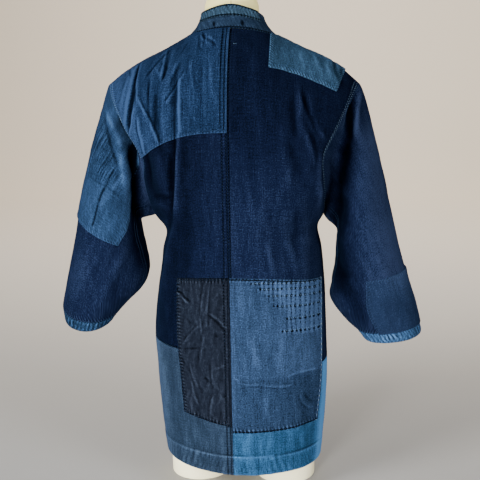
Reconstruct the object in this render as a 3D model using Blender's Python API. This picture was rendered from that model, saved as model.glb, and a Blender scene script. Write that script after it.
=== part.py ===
"""Patched boro jacket, open down the front, standing on a limbless dress form.

Metres, +Z up. The jacket's back faces -Y, so the wearer's right is +X. The floor is z = 0.

Every cloth piece is a stretch of one of these surfaces: the back and the front of each half, each
sleeve with its band, and the long collar band. A surface is a grid of points worked out from the
tables below. A piece takes some rows and columns of that grid, gets its wall inwards, and keeps
a small gap at its seams. A patch takes the same points, moved outwards.
"""

import bmesh
import bpy
import numpy as np

# ---------------------------------------------------------------- driving sizes
WALL = 0.0018  # panels
PATCH_WALL = 0.0014
GAP = 0.0004  # between pieces at a seam
LIFT = 0.0004  # between a panel and what lies on it
NECK_TOP = 0.847  # height of the neck seam at the centre back
SHOULDER_START = 0.72  # centre-back height above which rows bend up to the shoulder line
UNDERARM = 0.527  # centre-back height of the row that meets the underarm
COLLAR_WIDTH = 0.042
FRONT_DEPTH = 0.90  # depth of the armhole's front branch, as a share of the back's
NECK_SHARE = 0.38  # share of a back's top edge that is neckline, the rest is shoulder
CENTRE_SHIFT_X = 0.006  # sideways shift that centres the whole on the origin
CENTRE_SHIFT_Y = 0.0105

LEFT, RIGHT = -1, 1
SIDE_NAMES = {LEFT: "left", RIGHT: "right"}


def columns(names, *rows):
    """A short table as a dictionary of arrays, one for each named column."""
    return dict(zip(names.split(), np.array(rows, float).T))


# Half sections of the body. depth: back of the section behind the axis. reach, side_y, side_z:
# where the row ends, on the side seam up to UNDERARM and on the armhole above. lean: how much
# further the row reaches on the right than on the left. square: fullness of the corner.
# droop: power of the row's fall towards its end. tip: how far the row dips on the right and
# lifts on the left.
BACK = columns(
    "height depth reach  side_y  side_z lean   square droop tip",
    (0.047, 0.126, 0.1490, 0.000, 0.0490, 0.0020, 0.00, 2.0, 0.005),
    (0.140, 0.130, 0.1585, 0.000, 0.1430, 0.0020, 0.01, 2.0, 0.001),
    (0.245, 0.131, 0.1620, 0.000, 0.2380, 0.0020, 0.02, 2.0, 0.000),
    (0.285, 0.131, 0.1625, 0.000, 0.2740, 0.0005, 0.02, 2.0, 0.000),
    (0.345, 0.131, 0.1605, 0.000, 0.3290, 0.0010, 0.02, 2.0, 0.000),
    (0.420, 0.130, 0.1540, 0.000, 0.4010, 0.0045, 0.03, 2.2, 0.000),
    (0.465, 0.129, 0.1475, 0.000, 0.4490, 0.0065, 0.04, 2.4, 0.000),
    (0.505, 0.128, 0.1405, 0.000, 0.4920, 0.0065, 0.06, 2.6, 0.000),
    (0.527, 0.128, 0.1530, 0.000, 0.5130, 0.0040, 0.09, 3.0, 0.000),
    (0.575, 0.127, 0.1590, -0.036, 0.5500, 0.0020, 0.11, 3.0, 0.000),
    (0.625, 0.126, 0.1605, -0.064, 0.5890, 0.0010, 0.12, 3.0, 0.000),
    (0.674, 0.124, 0.1600, -0.082, 0.6270, 0.0020, 0.11, 2.8, 0.000),
    (0.730, 0.117, 0.1870, -0.074, 0.6780, -0.0010, 0.07, 2.4, 0.000),
    (0.785, 0.102, 0.2110, -0.044, 0.7210, -0.0040, 0.04, 2.0, 0.000),
    (0.825, 0.080, 0.2225, -0.018, 0.7410, -0.0060, 0.02, 1.5, 0.000),
    (0.847, 0.062, 0.2280, 0.000, 0.7500, -0.0065, 0.00, 1.2, 0.000),
)

# Front sections. edge_x, edge_z: where the collar band is sewn on, depth: front of the section.
FRONT = columns(
    "height depth edge_x edge_z square",
    (0.047, 0.108, 0.050, 0.048, 0.02),
    (0.285, 0.114, 0.050, 0.285, 0.02),
    (0.420, 0.114, 0.050, 0.418, 0.03),
    (0.527, 0.112, 0.051, 0.522, 0.06),
    (0.625, 0.108, 0.054, 0.617, 0.09),
    (0.674, 0.103, 0.057, 0.665, 0.09),
    (0.730, 0.092, 0.062, 0.720, 0.06),
    (0.785, 0.070, 0.068, 0.774, 0.03),
    (0.825, 0.036, 0.074, 0.815, 0.01),
    (0.847, 0.000, 0.0806, 0.835, 0.00),
)

# Height of each shoulder line from the neck point to the shoulder tip.
SHOULDER = columns(
    "share left    right",
    (0.00, 0.8350, 0.8350),
    (0.30, 0.8115, 0.8130),
    (0.55, 0.7940, 0.7970),
    (0.78, 0.7745, 0.7775),
    (1.00, 0.7500, 0.7500),
)
NECK_POINT = {LEFT: 0.0850, RIGHT: 0.0765}

# Sleeve rings from the armhole to the end of the band. top_x, top_z: the outer end of a ring,
# low_x, low_z: its inner end, depth: half its thickness front to back, forward: shift of its
# middle to the front, tilt: how much its back hangs below its front, pinch: how far the fold
# beside the armhole is drawn in.
SLEEVE = {
    LEFT: columns(
        "station top_x  top_z  low_x  low_z  depth forward tilt pinch",
        (0.000, 0.2345, 0.7500, 0.1490, 0.5130, 0.080, 0.000, 0.00, 0.00),
        (0.040, 0.2400, 0.7360, 0.1610, 0.5080, 0.080, 0.000, 0.00, 0.50),
        (0.100, 0.2495, 0.7080, 0.1760, 0.5040, 0.079, 0.000, 0.00, 0.36),
        (0.190, 0.2625, 0.6650, 0.1880, 0.4990, 0.077, 0.001, 0.02, 0.12),
        (0.310, 0.2790, 0.6080, 0.1885, 0.4850, 0.074, 0.002, 0.05, 0.00),
        (0.450, 0.2975, 0.5450, 0.1850, 0.4630, 0.071, 0.004, 0.09, 0.00),
        (0.600, 0.3150, 0.4720, 0.1790, 0.4340, 0.069, 0.006, 0.14, 0.00),
        (0.740, 0.3300, 0.4110, 0.1745, 0.4010, 0.065, 0.008, 0.19, 0.00),
        (0.860, 0.3420, 0.3640, 0.1900, 0.3680, 0.060, 0.010, 0.24, 0.00),
        (0.940, 0.3485, 0.3400, 0.2220, 0.3370, 0.055, 0.012, 0.27, 0.00),
        (1.000, 0.3505, 0.3280, 0.2430, 0.3140, 0.052, 0.013, 0.30, 0.00),
        (1.060, 0.3480, 0.3060, 0.2550, 0.2980, 0.051, 0.014, 0.30, 0.00),
    ),
    RIGHT: columns(
        "station top_x  top_z  low_x  low_z  depth forward tilt pinch",
        (0.000, 0.2215, 0.7500, 0.1570, 0.5130, 0.080, 0.000, 0.00, 0.00),
        (0.040, 0.2280, 0.7360, 0.1650, 0.5020, 0.080, 0.000, 0.00, 0.50),
        (0.100, 0.2380, 0.7050, 0.1750, 0.4930, 0.079, 0.000, 0.00, 0.36),
        (0.190, 0.2500, 0.6570, 0.1815, 0.4850, 0.077, 0.001, 0.00, 0.12),
        (0.310, 0.2640, 0.5970, 0.1820, 0.4720, 0.074, 0.002, 0.01, 0.00),
        (0.450, 0.2795, 0.5260, 0.1805, 0.4510, 0.071, 0.003, 0.02, 0.00),
        (0.600, 0.2950, 0.4560, 0.1785, 0.4220, 0.069, 0.004, 0.03, 0.00),
        (0.740, 0.3115, 0.3950, 0.1725, 0.3850, 0.066, 0.005, 0.04, 0.00),
        (0.860, 0.3255, 0.3500, 0.1730, 0.3480, 0.061, 0.006, 0.04, 0.00),
        (0.940, 0.3325, 0.3220, 0.2000, 0.3130, 0.055, 0.006, 0.04, 0.00),
        (1.000, 0.3355, 0.3090, 0.2200, 0.2930, 0.051, 0.006, 0.04, 0.00),
        (1.060, 0.3390, 0.2900, 0.2340, 0.2750, 0.049, 0.006, 0.04, 0.00),
    ),
}

# Largest folds of the backs and fronts. Each runs from its low end to its high end, given by its
# distance from the middle and its height. rise: outwards for a ridge, inwards for a trough.
FOLDS = {
    ("back", LEFT): columns(
        "low_x low_z high_x high_z width rise",
        (0.128, 0.360, 0.090, 0.560, 0.018, 0.0045),
        (0.090, 0.560, 0.085, 0.730, 0.018, 0.0055),
        (0.108, 0.600, 0.112, 0.720, 0.016, -0.0040),
        (0.130, 0.560, 0.124, 0.720, 0.018, 0.0040),
    ),
    ("back", RIGHT): columns(
        "low_x low_z high_x high_z width rise",
        (0.150, 0.560, 0.122, 0.720, 0.016, 0.0050),
        (0.126, 0.570, 0.098, 0.720, 0.018, -0.0040),
        (0.140, 0.300, 0.120, 0.480, 0.020, 0.0030),
    ),
    ("front", LEFT): columns(
        "low_x low_z high_x high_z width rise",
        (0.130, 0.180, 0.100, 0.470, 0.020, 0.0040),
        (0.128, 0.540, 0.115, 0.700, 0.018, 0.0040),
    ),
    ("front", RIGHT): columns(
        "low_x low_z high_x high_z width rise",
        (0.120, 0.140, 0.110, 0.420, 0.020, 0.0040),
        (0.135, 0.550, 0.120, 0.700, 0.018, 0.0045),
    ),
}
FOLD_FADE = 0.050  # length over which a fold's ends die away

# Direction of the collar band from its seam to its free edge, for the right half. run: 0 at the
# front hem, 1 at the neck point, 2 at the centre back. bow: how far its middle is drawn in.
COLLAR = columns(
    "run   aside  ahead  up    bow",
    (0.00, -1.00, 0.03, 0.00, 0.0000),
    (0.60, -1.00, 0.06, 0.00, 0.0000),
    (0.76, -0.98, 0.10, 0.06, 0.0000),
    (0.85, -0.95, 0.18, 0.14, 0.0000),
    (0.92, -0.84, 0.32, 0.30, 0.0010),
    (1.00, -0.66, 0.38, 0.55, 0.0030),
    (1.33, -0.47, 0.08, 0.89, 0.0040),
    (1.67, -0.30, 0.12, 0.95, 0.0020),
    (2.00, 0.00, 0.17, 0.98, 0.0000),
)

# Rings of the dress form. square: fullness of the corners. lean: shift to the right.
FORM = columns(
    "height half_width back  front square lean",
    (0.060, 0.030, 0.030, 0.030, 0.00, 0.0000),
    (0.064, 0.085, 0.058, 0.056, 0.02, 0.0000),
    (0.078, 0.122, 0.088, 0.084, 0.03, 0.0000),
    (0.105, 0.138, 0.104, 0.094, 0.04, 0.0000),
    (0.160, 0.143, 0.108, 0.096, 0.04, 0.0000),
    (0.230, 0.135, 0.100, 0.092, 0.04, 0.0000),
    (0.310, 0.118, 0.088, 0.086, 0.04, 0.0000),
    (0.390, 0.110, 0.082, 0.084, 0.04, 0.0000),
    (0.470, 0.116, 0.088, 0.092, 0.05, 0.0000),
    (0.550, 0.130, 0.098, 0.099, 0.06, 0.0000),
    (0.620, 0.141, 0.104, 0.096, 0.06, 0.0000),
    (0.680, 0.154, 0.102, 0.086, 0.05, 0.0000),
    (0.715, 0.172, 0.094, 0.074, 0.03, 0.0000),
    (0.735, 0.180, 0.084, 0.062, 0.02, 0.0000),
    (0.755, 0.178, 0.074, 0.050, 0.01, 0.0000),
    (0.772, 0.164, 0.067, 0.044, 0.00, 0.0000),
    (0.787, 0.138, 0.062, 0.040, 0.00, 0.0000),
    (0.800, 0.108, 0.057, 0.039, 0.00, -0.0015),
    (0.812, 0.080, 0.053, 0.040, 0.00, -0.0030),
    (0.826, 0.060, 0.049, 0.042, 0.00, -0.0040),
    (0.845, 0.0495, 0.0465, 0.044, 0.00, -0.0050),
    (0.870, 0.0485, 0.0450, 0.045, 0.00, -0.0050),
    (0.890, 0.0475, 0.0445, 0.0445, 0.00, -0.0050),
    (0.902, 0.0410, 0.0390, 0.0390, 0.00, -0.0050),
    (0.910, 0.0280, 0.0270, 0.0270, 0.00, -0.0050),
    (0.914, 0.0100, 0.0100, 0.0100, 0.00, -0.0050),
)
STUMP_CENTRE = 0.083
STUMP_RADIUS = 0.056
STUMP_TOP = 0.115

# ---------------------------------------------------------------- grid lines
# Rows of the body by centre-back height. The named ones are seams and patch edges.
HEM, BENT_HEM = 0.047, 0.085
PATCH_LOW = {LEFT: 0.142, RIGHT: 0.131}
PANEL_TOP = {LEFT: 0.285, RIGHT: 0.245}
PATCH_TOP = 0.420
SHOULDER_PATCH_LOW = {LEFT: 0.674, RIGHT: 0.785}
BODY_ROWS = {
    LEFT: (HEM, BENT_HEM, 0.142, 0.190, 0.237, 0.285, 0.330, 0.375, PATCH_TOP, 0.465, 0.505, UNDERARM,
           0.546, 0.575, 0.608, 0.641, 0.674, 0.710, 0.748, 0.785, 0.818, NECK_TOP),
    RIGHT: (HEM, BENT_HEM, 0.131, 0.190, 0.245, 0.290, 0.335, 0.378, PATCH_TOP, 0.465, 0.505, UNDERARM,
            0.546, 0.575, 0.608, 0.641, 0.674, 0.710, 0.748, 0.785, 0.818, NECK_TOP),
}
# Columns of a back as shares of its width, at some heights. Column 3 ends at the neck point.
# Left column 3 is the charcoal patch's edge, right column 7 that of the blue patch and of the
# shoulder patch, and right column 2 the other edge of the shoulder patch.
COLUMN_HEIGHTS = (HEM, 0.142, 0.420, 0.700, 0.785, NECK_TOP)
BACK_COLUMNS = {
    LEFT: (
        (0.0, 0.14, 0.28, 0.42, 0.54, 0.65, 0.76, 0.86, 0.93, 1.0),
        (0.0, 0.14, 0.28, 0.42, 0.54, 0.65, 0.76, 0.86, 0.93, 1.0),
        (0.0, 0.15, 0.31, 0.466, 0.56, 0.66, 0.76, 0.86, 0.93, 1.0),
        (0.0, 0.14, 0.28, 0.42, 0.53, 0.63, 0.73, 0.83, 0.92, 1.0),
        (0.0, 0.13, 0.26, 0.39, 0.50, 0.60, 0.71, 0.81, 0.91, 1.0),
        (0.0, 0.13, 0.26, 0.38, 0.48, 0.59, 0.70, 0.80, 0.90, 1.0),
    ),
    RIGHT: (
        (0.0, 0.13, 0.25, 0.36, 0.46, 0.56, 0.66, 0.765, 0.88, 1.0),
        (0.0, 0.13, 0.25, 0.36, 0.46, 0.56, 0.66, 0.765, 0.88, 1.0),
        (0.0, 0.14, 0.27, 0.40, 0.52, 0.63, 0.74, 0.845, 0.92, 1.0),
        (0.0, 0.14, 0.28, 0.40, 0.52, 0.63, 0.74, 0.840, 0.92, 1.0),
        (0.0, 0.15, 0.29, 0.39, 0.50, 0.61, 0.72, 0.835, 0.92, 1.0),
        (0.0, 0.13, 0.255, 0.38, 0.50, 0.63, 0.76, 0.893, 0.95, 1.0),
    ),
}
NECK_COLUMN = 3
CHARCOAL_COLUMN = 3
BLUE_COLUMN = 7
SHOULDER_PATCH_COLUMNS = (2, 7)
SLEEVE_STATIONS = (0, 0.04, 0.10, 0.19, 0.28, 0.37, 0.46, 0.56, 0.66, 0.75, 0.83, 0.91, 1.0, 1.06)
BAND_START = 12  # station row of the seam between a sleeve and its band
SLEEVE_PATCH = {  # stations, then ring points: a ring starts on top and runs down its back
    LEFT: (0, 6, -5, 6),
    RIGHT: (9, 12, -3, 4),
}
COLLAR_ROWS = (0.0, 0.27, 0.52, 0.76, 1.0)
COLLAR_PATCH_ROW = 2
COLLAR_PATCH_REACH = 2  # columns of the neckline on each side of the centre back

COLOURS = {
    "navy": (0.010, 0.030, 0.085),
    "shoulder_blue": (0.022, 0.095, 0.230),
    "faded_blue": (0.045, 0.110, 0.210),
    "sleeve_blue": (0.032, 0.140, 0.330),
    "charcoal": (0.027, 0.034, 0.056),
    "patch_blue": (0.035, 0.110, 0.270),
    "hem_left": (0.040, 0.115, 0.250),
    "hem_right": (0.033, 0.135, 0.330),
    "band_blue": (0.020, 0.085, 0.190),
    "collar_light": (0.045, 0.135, 0.260),
    "cuff_blue": (0.050, 0.185, 0.370),
    "cream": (0.900, 0.850, 0.700),
}


# ---------------------------------------------------------------- curves and surfaces
def through(at, stations, values):
    """A smooth curve through a table's points: cubic pieces that meet with the same slope."""
    slopes = np.gradient(values, stations)
    piece = np.clip(np.searchsorted(stations, at) - 1, 0, len(stations) - 2)
    step = stations[piece + 1] - stations[piece]
    t = np.clip((at - stations[piece]) / step, 0.0, 1.0)
    return (
        (1 + 2 * t) * (1 - t) ** 2 * values[piece]
        + t * (1 - t) ** 2 * step * slopes[piece]
        + t * t * (3 - 2 * t) * values[piece + 1]
        + t * t * (t - 1) * step * slopes[piece + 1]
    )


def read(table, at, key):
    """Every column of a table at the given places along its column key."""
    at = np.asarray(at, float)
    return {name: through(at, table[key], table[name]) for name in table if name != key}


def ramp(x, low, high):
    """0 below low, 1 above high, and a smooth rise between."""
    t = np.clip((x - low) / (high - low), 0.0, 1.0)
    return t * t * (3 - 2 * t)


def evenly(curves, shares):
    """Points of each curve (row, point, xyz) at shares of its length (row, column)."""
    steps = np.linalg.norm(np.diff(curves, axis=1), axis=2)
    length = np.concatenate([np.zeros((len(curves), 1)), np.cumsum(steps, axis=1)], axis=1)
    made = np.empty(shares.shape + (3,))
    for row, (curve, run) in enumerate(zip(curves, length)):
        for axis in range(3):
            made[row, :, axis] = np.interp(shares[row] * run[-1], run, curve[:, axis])
    return made


def corner(angle, square):
    """How far a section stands out from a plain ellipse, fullest half way round its corner."""
    return 1 + square * np.sin(2 * angle) ** 2


def body_row(height, side, front):
    """Dense curves across one half of the body, from its middle to the side or armhole."""
    end = read(BACK, height, "height")
    reach = end["reach"] + side * end["lean"]
    face = read(FRONT, height, "height") if front else end
    side_y = -FRONT_DEPTH * end["side_y"] if front else end["side_y"]
    middle_y = face["depth"] if front else -end["depth"]
    middle_z = face["edge_z"] if front else height
    start = np.arcsin(np.clip(face["edge_x"] / reach, 0, 1)) if front else 0 * reach
    angle = start[:, None] + (np.pi / 2 - start[:, None]) * np.linspace(0, 1, 61)
    out = corner(angle, face["square"][:, None])
    x = reach[:, None] * np.sin(angle) * out
    y = side_y[:, None] + (middle_y - side_y)[:, None] * np.cos(angle) * out
    fall = np.clip(x / reach[:, None], 0, 1) ** end["droop"][:, None]
    if front:
        first = fall[:, :1]
        fall = (fall - first) / (1 - first)
    z = middle_z[:, None] + (end["side_z"] - middle_z)[:, None] * fall
    z -= side * (end["tip"] / reach)[:, None] * x
    return np.stack([side * x, y, z], axis=2)


def shoulder_line(side, share):
    """The shoulder seam, from the neck point (share 0) to the shoulder tip (share 1)."""
    tip = BACK["reach"][-1] + side * BACK["lean"][-1]
    x = NECK_POINT[side] + (tip - NECK_POINT[side]) * share
    z = through(share, SHOULDER["share"], SHOULDER[SIDE_NAMES[side]])
    return np.stack([side * x, 0 * x, z], axis=-1)


def top_edge(side, share):
    """A back's upper edge: a quarter ellipse for the neckline, then the shoulder line."""
    angle = np.pi / 2 * np.clip(share / NECK_SHARE, 0, 1)
    neck_z = NECK_TOP + 0.002 - (NECK_TOP + 0.002 - SHOULDER["left"][0]) * np.sin(angle) ** 2
    neck = np.stack(
        [side * NECK_POINT[side] * np.sin(angle), -BACK["depth"][-1] * np.cos(angle), neck_z], axis=-1
    )
    shoulder = shoulder_line(side, np.clip((share - NECK_SHARE) / (1 - NECK_SHARE), 0, 1))
    return np.where((share < NECK_SHARE)[..., None], neck, shoulder)


def folded(points, share, folds, outwards):
    """The points of a back or a front with its folds: rounded ridges and troughs along Y."""
    aside, z = np.abs(points[..., 0]), points[..., 2]
    rise = 0 * z
    for low_x, low_z, high_x, high_z, width, height in np.stack(list(folds.values()), axis=1):
        along = np.clip((z - low_z) / (high_z - low_z), 0, 1)
        off = aside - low_x - (high_x - low_x) * along
        fade = ramp(z, low_z - FOLD_FADE, low_z) * (1 - ramp(z, high_z, high_z + FOLD_FADE))
        rise += height * np.exp(-((off / width) ** 2)) * fade
    made = points.copy()
    made[..., 1] += outwards * rise * (1 - ramp(share, 0.85, 1.0))
    return made


def back_surface(side, share, height):
    """Points of a back for shares of its width (row, column) and centre-back heights (row)."""
    made = evenly(body_row(height, side, False), share)
    bend = ((height - SHOULDER_START) / (NECK_TOP - SHOULDER_START)) ** 2
    for row in np.flatnonzero(height > SHOULDER_START):
        last = evenly(body_row(np.full(1, NECK_TOP), side, False), share[row][None])[0]
        made[row] += (top_edge(side, share[row]) - last) * bend[row]
    return folded(made, share, FOLDS["back", side], -1)


def front_surface(side, share, height):
    """Points of a front, from the edge that takes the collar band to the side or armhole."""
    made = evenly(body_row(height, side, True), share)
    bend = ((height - SHOULDER_START) / (NECK_TOP - SHOULDER_START)) ** 2
    for row in np.flatnonzero(height > SHOULDER_START):
        last = evenly(body_row(np.full(1, NECK_TOP), side, True), share[row][None])[0]
        made[row] += (shoulder_line(side, share[row]) - last) * bend[row]
    return folded(made, share, FOLDS["front", side], 1)


def armhole(side, height, front):
    """The body's edge at the armhole, by centre-back height."""
    end = read(BACK, height, "height")
    y = end["side_y"] * (-FRONT_DEPTH if front else 1)
    return np.stack([side * (end["reach"] + side * end["lean"]), y, end["side_z"]], axis=-1)


def sleeve_surface(side, stations, heights):
    """Rings of a sleeve. Ring point 0 is its top, and points run down its back and up its front."""
    ring = read(SLEEVE[side], stations, "station")
    angle = np.linspace(0, np.pi, 91)
    along = (1 - np.cos(angle)) / 2
    halves = []
    for front in (False, True):
        turn = 1 if front else -1
        edge = armhole(side, np.linspace(NECK_TOP, UNDERARM, 91), front)
        x = side * (ring["top_x"][:, None] + (ring["low_x"] - ring["top_x"])[:, None] * along)
        z = ring["top_z"][:, None] + (ring["low_z"] - ring["top_z"])[:, None] * along
        depth = ring["depth"][:, None] * np.sin(angle)
        oval = np.stack([x, turn * depth, z], axis=2)
        run = np.linalg.norm(np.diff(armhole(side, heights, front), axis=0), axis=1)
        share = np.concatenate([[0], np.cumsum(run)]) / run.sum()
        share = np.tile(share, (len(stations), 1))
        points = evenly(oval, share)
        hold = (1 - ramp(stations, 0.0, 0.24))[:, None, None]
        points += (armhole(side, heights, front) - points[0]) * hold
        pull = ring["pinch"][:, None] * ramp(share, 0.10, 0.42)
        points[..., 1] *= 1 - pull
        points[..., 2] += points[..., 1] * ring["tilt"][:, None]
        points[..., 1] += ring["forward"][:, None]
        halves.append(points)
    return np.concatenate([halves[0], halves[1][:, -2:0:-1]], axis=1)


def collar_surface(seam, run, across):
    """The band: from its seam line, a width in the direction of the table, drawn in a little."""
    lean = read(COLLAR, np.clip(run, 0, 2), "run")
    way = np.stack([lean["aside"] * np.sign(seam[:, 0]), lean["ahead"], lean["up"]], axis=1)
    way /= np.linalg.norm(way, axis=1)[:, None]
    made = seam[:, None] + way[:, None] * COLLAR_WIDTH * across[:, None]
    made[..., 0] -= np.sign(seam[:, 0])[:, None] * lean["bow"][:, None] * np.sin(np.pi * across)
    return made


# ---------------------------------------------------------------- solids
def triangles(points, wrap):
    """Two triangles for each cell of a grid of points, split along the cell's shorter diagonal."""
    rows, cols = points.shape[:2]
    index = np.arange(rows * cols).reshape(rows, cols)
    if wrap:
        index = np.concatenate([index, index[:, :1]], axis=1)
    a, b = index[:-1, :-1].ravel(), index[:-1, 1:].ravel()
    c, d = index[1:, 1:].ravel(), index[1:, :-1].ravel()
    flat = points.reshape(-1, 3)
    plain = np.linalg.norm(flat[a] - flat[c], axis=1) <= np.linalg.norm(flat[b] - flat[d], axis=1)
    first = np.stack([a, b, np.where(plain, c, d)], axis=1)
    second = np.stack([np.where(plain, a, b), c, d], axis=1)
    return np.concatenate([first, second])


def shared_normals(grids):
    """Outward normals of all grids, where points that coincide at a seam share one normal.

    Each grid is (points, wrap, centre), centre being a point inside it for each of its rows.
    The length of a returned normal makes up for the slant of the faces round its point.
    """
    points = np.concatenate([grid[0].reshape(-1, 3) for grid in grids])
    faces, start = [], 0
    for shape, wrap, centre in grids:
        made = triangles(shape, wrap)
        corners = shape.reshape(-1, 3)[made]
        normal = np.cross(corners[:, 1] - corners[:, 0], corners[:, 2] - corners[:, 0])
        middle = np.repeat(centre, shape.shape[1], axis=0)[made[:, 0]]
        outward = np.sum(normal * (corners.mean(axis=1) - middle)) > 0
        faces.append((made if outward else made[:, ::-1]) + start)
        start += shape.shape[0] * shape.shape[1]
    faces = np.concatenate(faces)
    _, spot = np.unique(np.round(points, 6), axis=0, return_inverse=True)
    spot = spot.reshape(-1)
    corners = points[faces]
    normal = np.cross(corners[:, 1] - corners[:, 0], corners[:, 2] - corners[:, 0])
    size = np.linalg.norm(normal, axis=1, keepdims=True)
    total = np.zeros((spot.max() + 1, 3))
    straight = np.zeros(spot.max() + 1)
    weight = np.zeros(spot.max() + 1)
    for place in range(3):
        np.add.at(total, spot[faces[:, place]], normal)
    total /= np.linalg.norm(total, axis=1, keepdims=True)
    for place in range(3):
        at = spot[faces[:, place]]
        np.add.at(straight, at, np.sum(total[at] * normal, axis=1))
        np.add.at(weight, at, size[:, 0])
    total /= np.clip(straight / weight, 0.7, 1.0)[:, None]
    made, start = [], 0
    for shape, _, _ in grids:
        count = shape.shape[0] * shape.shape[1]
        made.append(total[spot[start : start + count]].reshape(shape.shape))
        start += count
    return made


def drawn_in(points, edges):
    """Points of a grid with the named edges moved in by half a gap. edges: of top low start end."""
    made = points.copy()
    pairs = {"low": (np.s_[0], np.s_[1]), "top": (np.s_[-1], np.s_[-2]),
             "start": (np.s_[:, 0], np.s_[:, 1]), "end": (np.s_[:, -1], np.s_[:, -2])}
    for edge in edges.split():
        at, inner = pairs[edge]
        way = points[inner] - points[at]
        made[at] += way / np.linalg.norm(way, axis=-1, keepdims=True) * GAP / 2
    return made


def cloth(name, colour, points, normals, edges, lift=0.0, wall=WALL, wrap=False):
    """A closed wall: its face is the grid moved out by lift + wall, or the grid itself for lift 0."""
    points = drawn_in(points, edges)
    outer = points + normals * (lift + wall if lift else 0.0)
    inner = points + normals * (lift if lift else -wall)
    index = np.arange(points.shape[0] * points.shape[1]).reshape(points.shape[:2])
    flat = np.concatenate([outer.reshape(-1, 3), inner.reshape(-1, 3)])
    face = triangles(points, wrap)
    rims = [(index[0], wrap), (index[-1][::-1], wrap)]
    if not wrap:
        rims += [(index[:, -1], False), (index[::-1, 0], False)]
    sides = []
    for rim, closed in rims:
        rim = np.append(rim, rim[0]) if closed else rim
        pair = np.stack([rim + index.size, rim])
        sides.append(pair.ravel()[triangles(flat[pair], False)])
    faces = np.concatenate([face, face[:, ::-1] + index.size, *sides])
    return solid(name, colour, flat, faces)


def solid(name, colour, points, faces):
    """An object from points and triangles, turned right side out."""
    corners = points[faces]
    if np.linalg.det(corners - points.mean(axis=0)).sum() < 0:
        faces = faces[:, ::-1]
    mesh = bpy.data.meshes.new(name)
    mesh.from_pydata(points + (CENTRE_SHIFT_X, CENTRE_SHIFT_Y, 0), [], faces.tolist())
    mesh.validate()
    mesh.shade_smooth()
    mesh.set_sharp_from_angle(angle=np.radians(50))
    made = bpy.data.objects.new(name, mesh)
    made.data.materials.append(material(colour))
    jacket.objects.link(made)
    return made


def material(colour):
    """A plain finish: rough cloth."""
    made = bpy.data.materials.get(colour)
    if made is None:
        made = bpy.data.materials.new(colour)
        made.use_nodes = True
        shader = made.node_tree.nodes["Principled BSDF"]
        shader.inputs["Base Color"].default_value = (*COLOURS[colour], 1)
        shader.inputs["Roughness"].default_value = 0.9
        shader.inputs["Metallic"].default_value = 0.0
    return made


# ---------------------------------------------------------------- the dress form
def dress_form():
    """Rings of the torso and neck, closed top and bottom, joined with two flat-ended stumps."""
    heights = np.unique(np.concatenate([FORM["height"], np.linspace(0.10, 0.70, 13)]))
    ring = read(FORM, heights, "height")
    angle = np.linspace(0, 2 * np.pi, 33)[:-1]
    out = corner(angle, ring["square"][:, None])
    depth = np.where(np.sin(angle) < 0, ring["back"][:, None], ring["front"][:, None])
    x = ring["half_width"][:, None] * np.cos(angle) * out + ring["lean"][:, None]
    y = depth * np.sin(angle) * out
    z = np.repeat(heights[:, None], len(angle), axis=1)
    points = np.stack([x, y, z], axis=2)
    rows, cols = points.shape[:2]
    faces = triangles(points, True)
    flat = points.reshape(-1, 3)
    ends = np.array([[0, 0, heights[0]], [ring["lean"][-1], 0, heights[-1] + 0.001]])
    ring_index = np.arange(cols)
    after = np.roll(ring_index, -1)
    low = np.stack([after, ring_index, np.full(cols, len(flat))], axis=1)
    last = (rows - 1) * cols
    top = np.stack([ring_index + last, after + last, np.full(cols, len(flat) + 1)], axis=1)
    torso = solid("dress_form", "cream", np.concatenate([flat, ends]), np.concatenate([faces, low, top]))
    for side in (LEFT, RIGHT):
        mesh = bpy.data.meshes.new("stump_" + SIDE_NAMES[side])
        work = bmesh.new()
        bmesh.ops.create_cone(
            work, cap_ends=True, segments=32, radius1=STUMP_RADIUS, radius2=STUMP_RADIUS + 0.002,
            depth=STUMP_TOP,
        )
        work.to_mesh(mesh)
        work.free()
        stump = bpy.data.objects.new(mesh.name, mesh)
        stump.location = (side * STUMP_CENTRE + CENTRE_SHIFT_X, CENTRE_SHIFT_Y, STUMP_TOP / 2)
        stump.hide_render = True
        stump.display_type = "WIRE"
        helpers.objects.link(stump)
        join = torso.modifiers.new(mesh.name, "BOOLEAN")
        join.operation = "UNION"
        join.object = stump


# ---------------------------------------------------------------- the jacket
def column_shares(side, heights):
    """Shares of a back's width for its columns, at each row."""
    table = np.array(BACK_COLUMNS[side])
    made = [np.interp(heights, COLUMN_HEIGHTS, table[:, col]) for col in range(table.shape[1])]
    return np.stack(made, axis=1)


def front_shares(side, heights):
    """A front's columns: those of the back beyond the neck point, spread over the front."""
    back = column_shares(side, heights)[:, NECK_COLUMN:]
    return (back - back[:, :1]) / (1 - back[:, :1])


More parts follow.
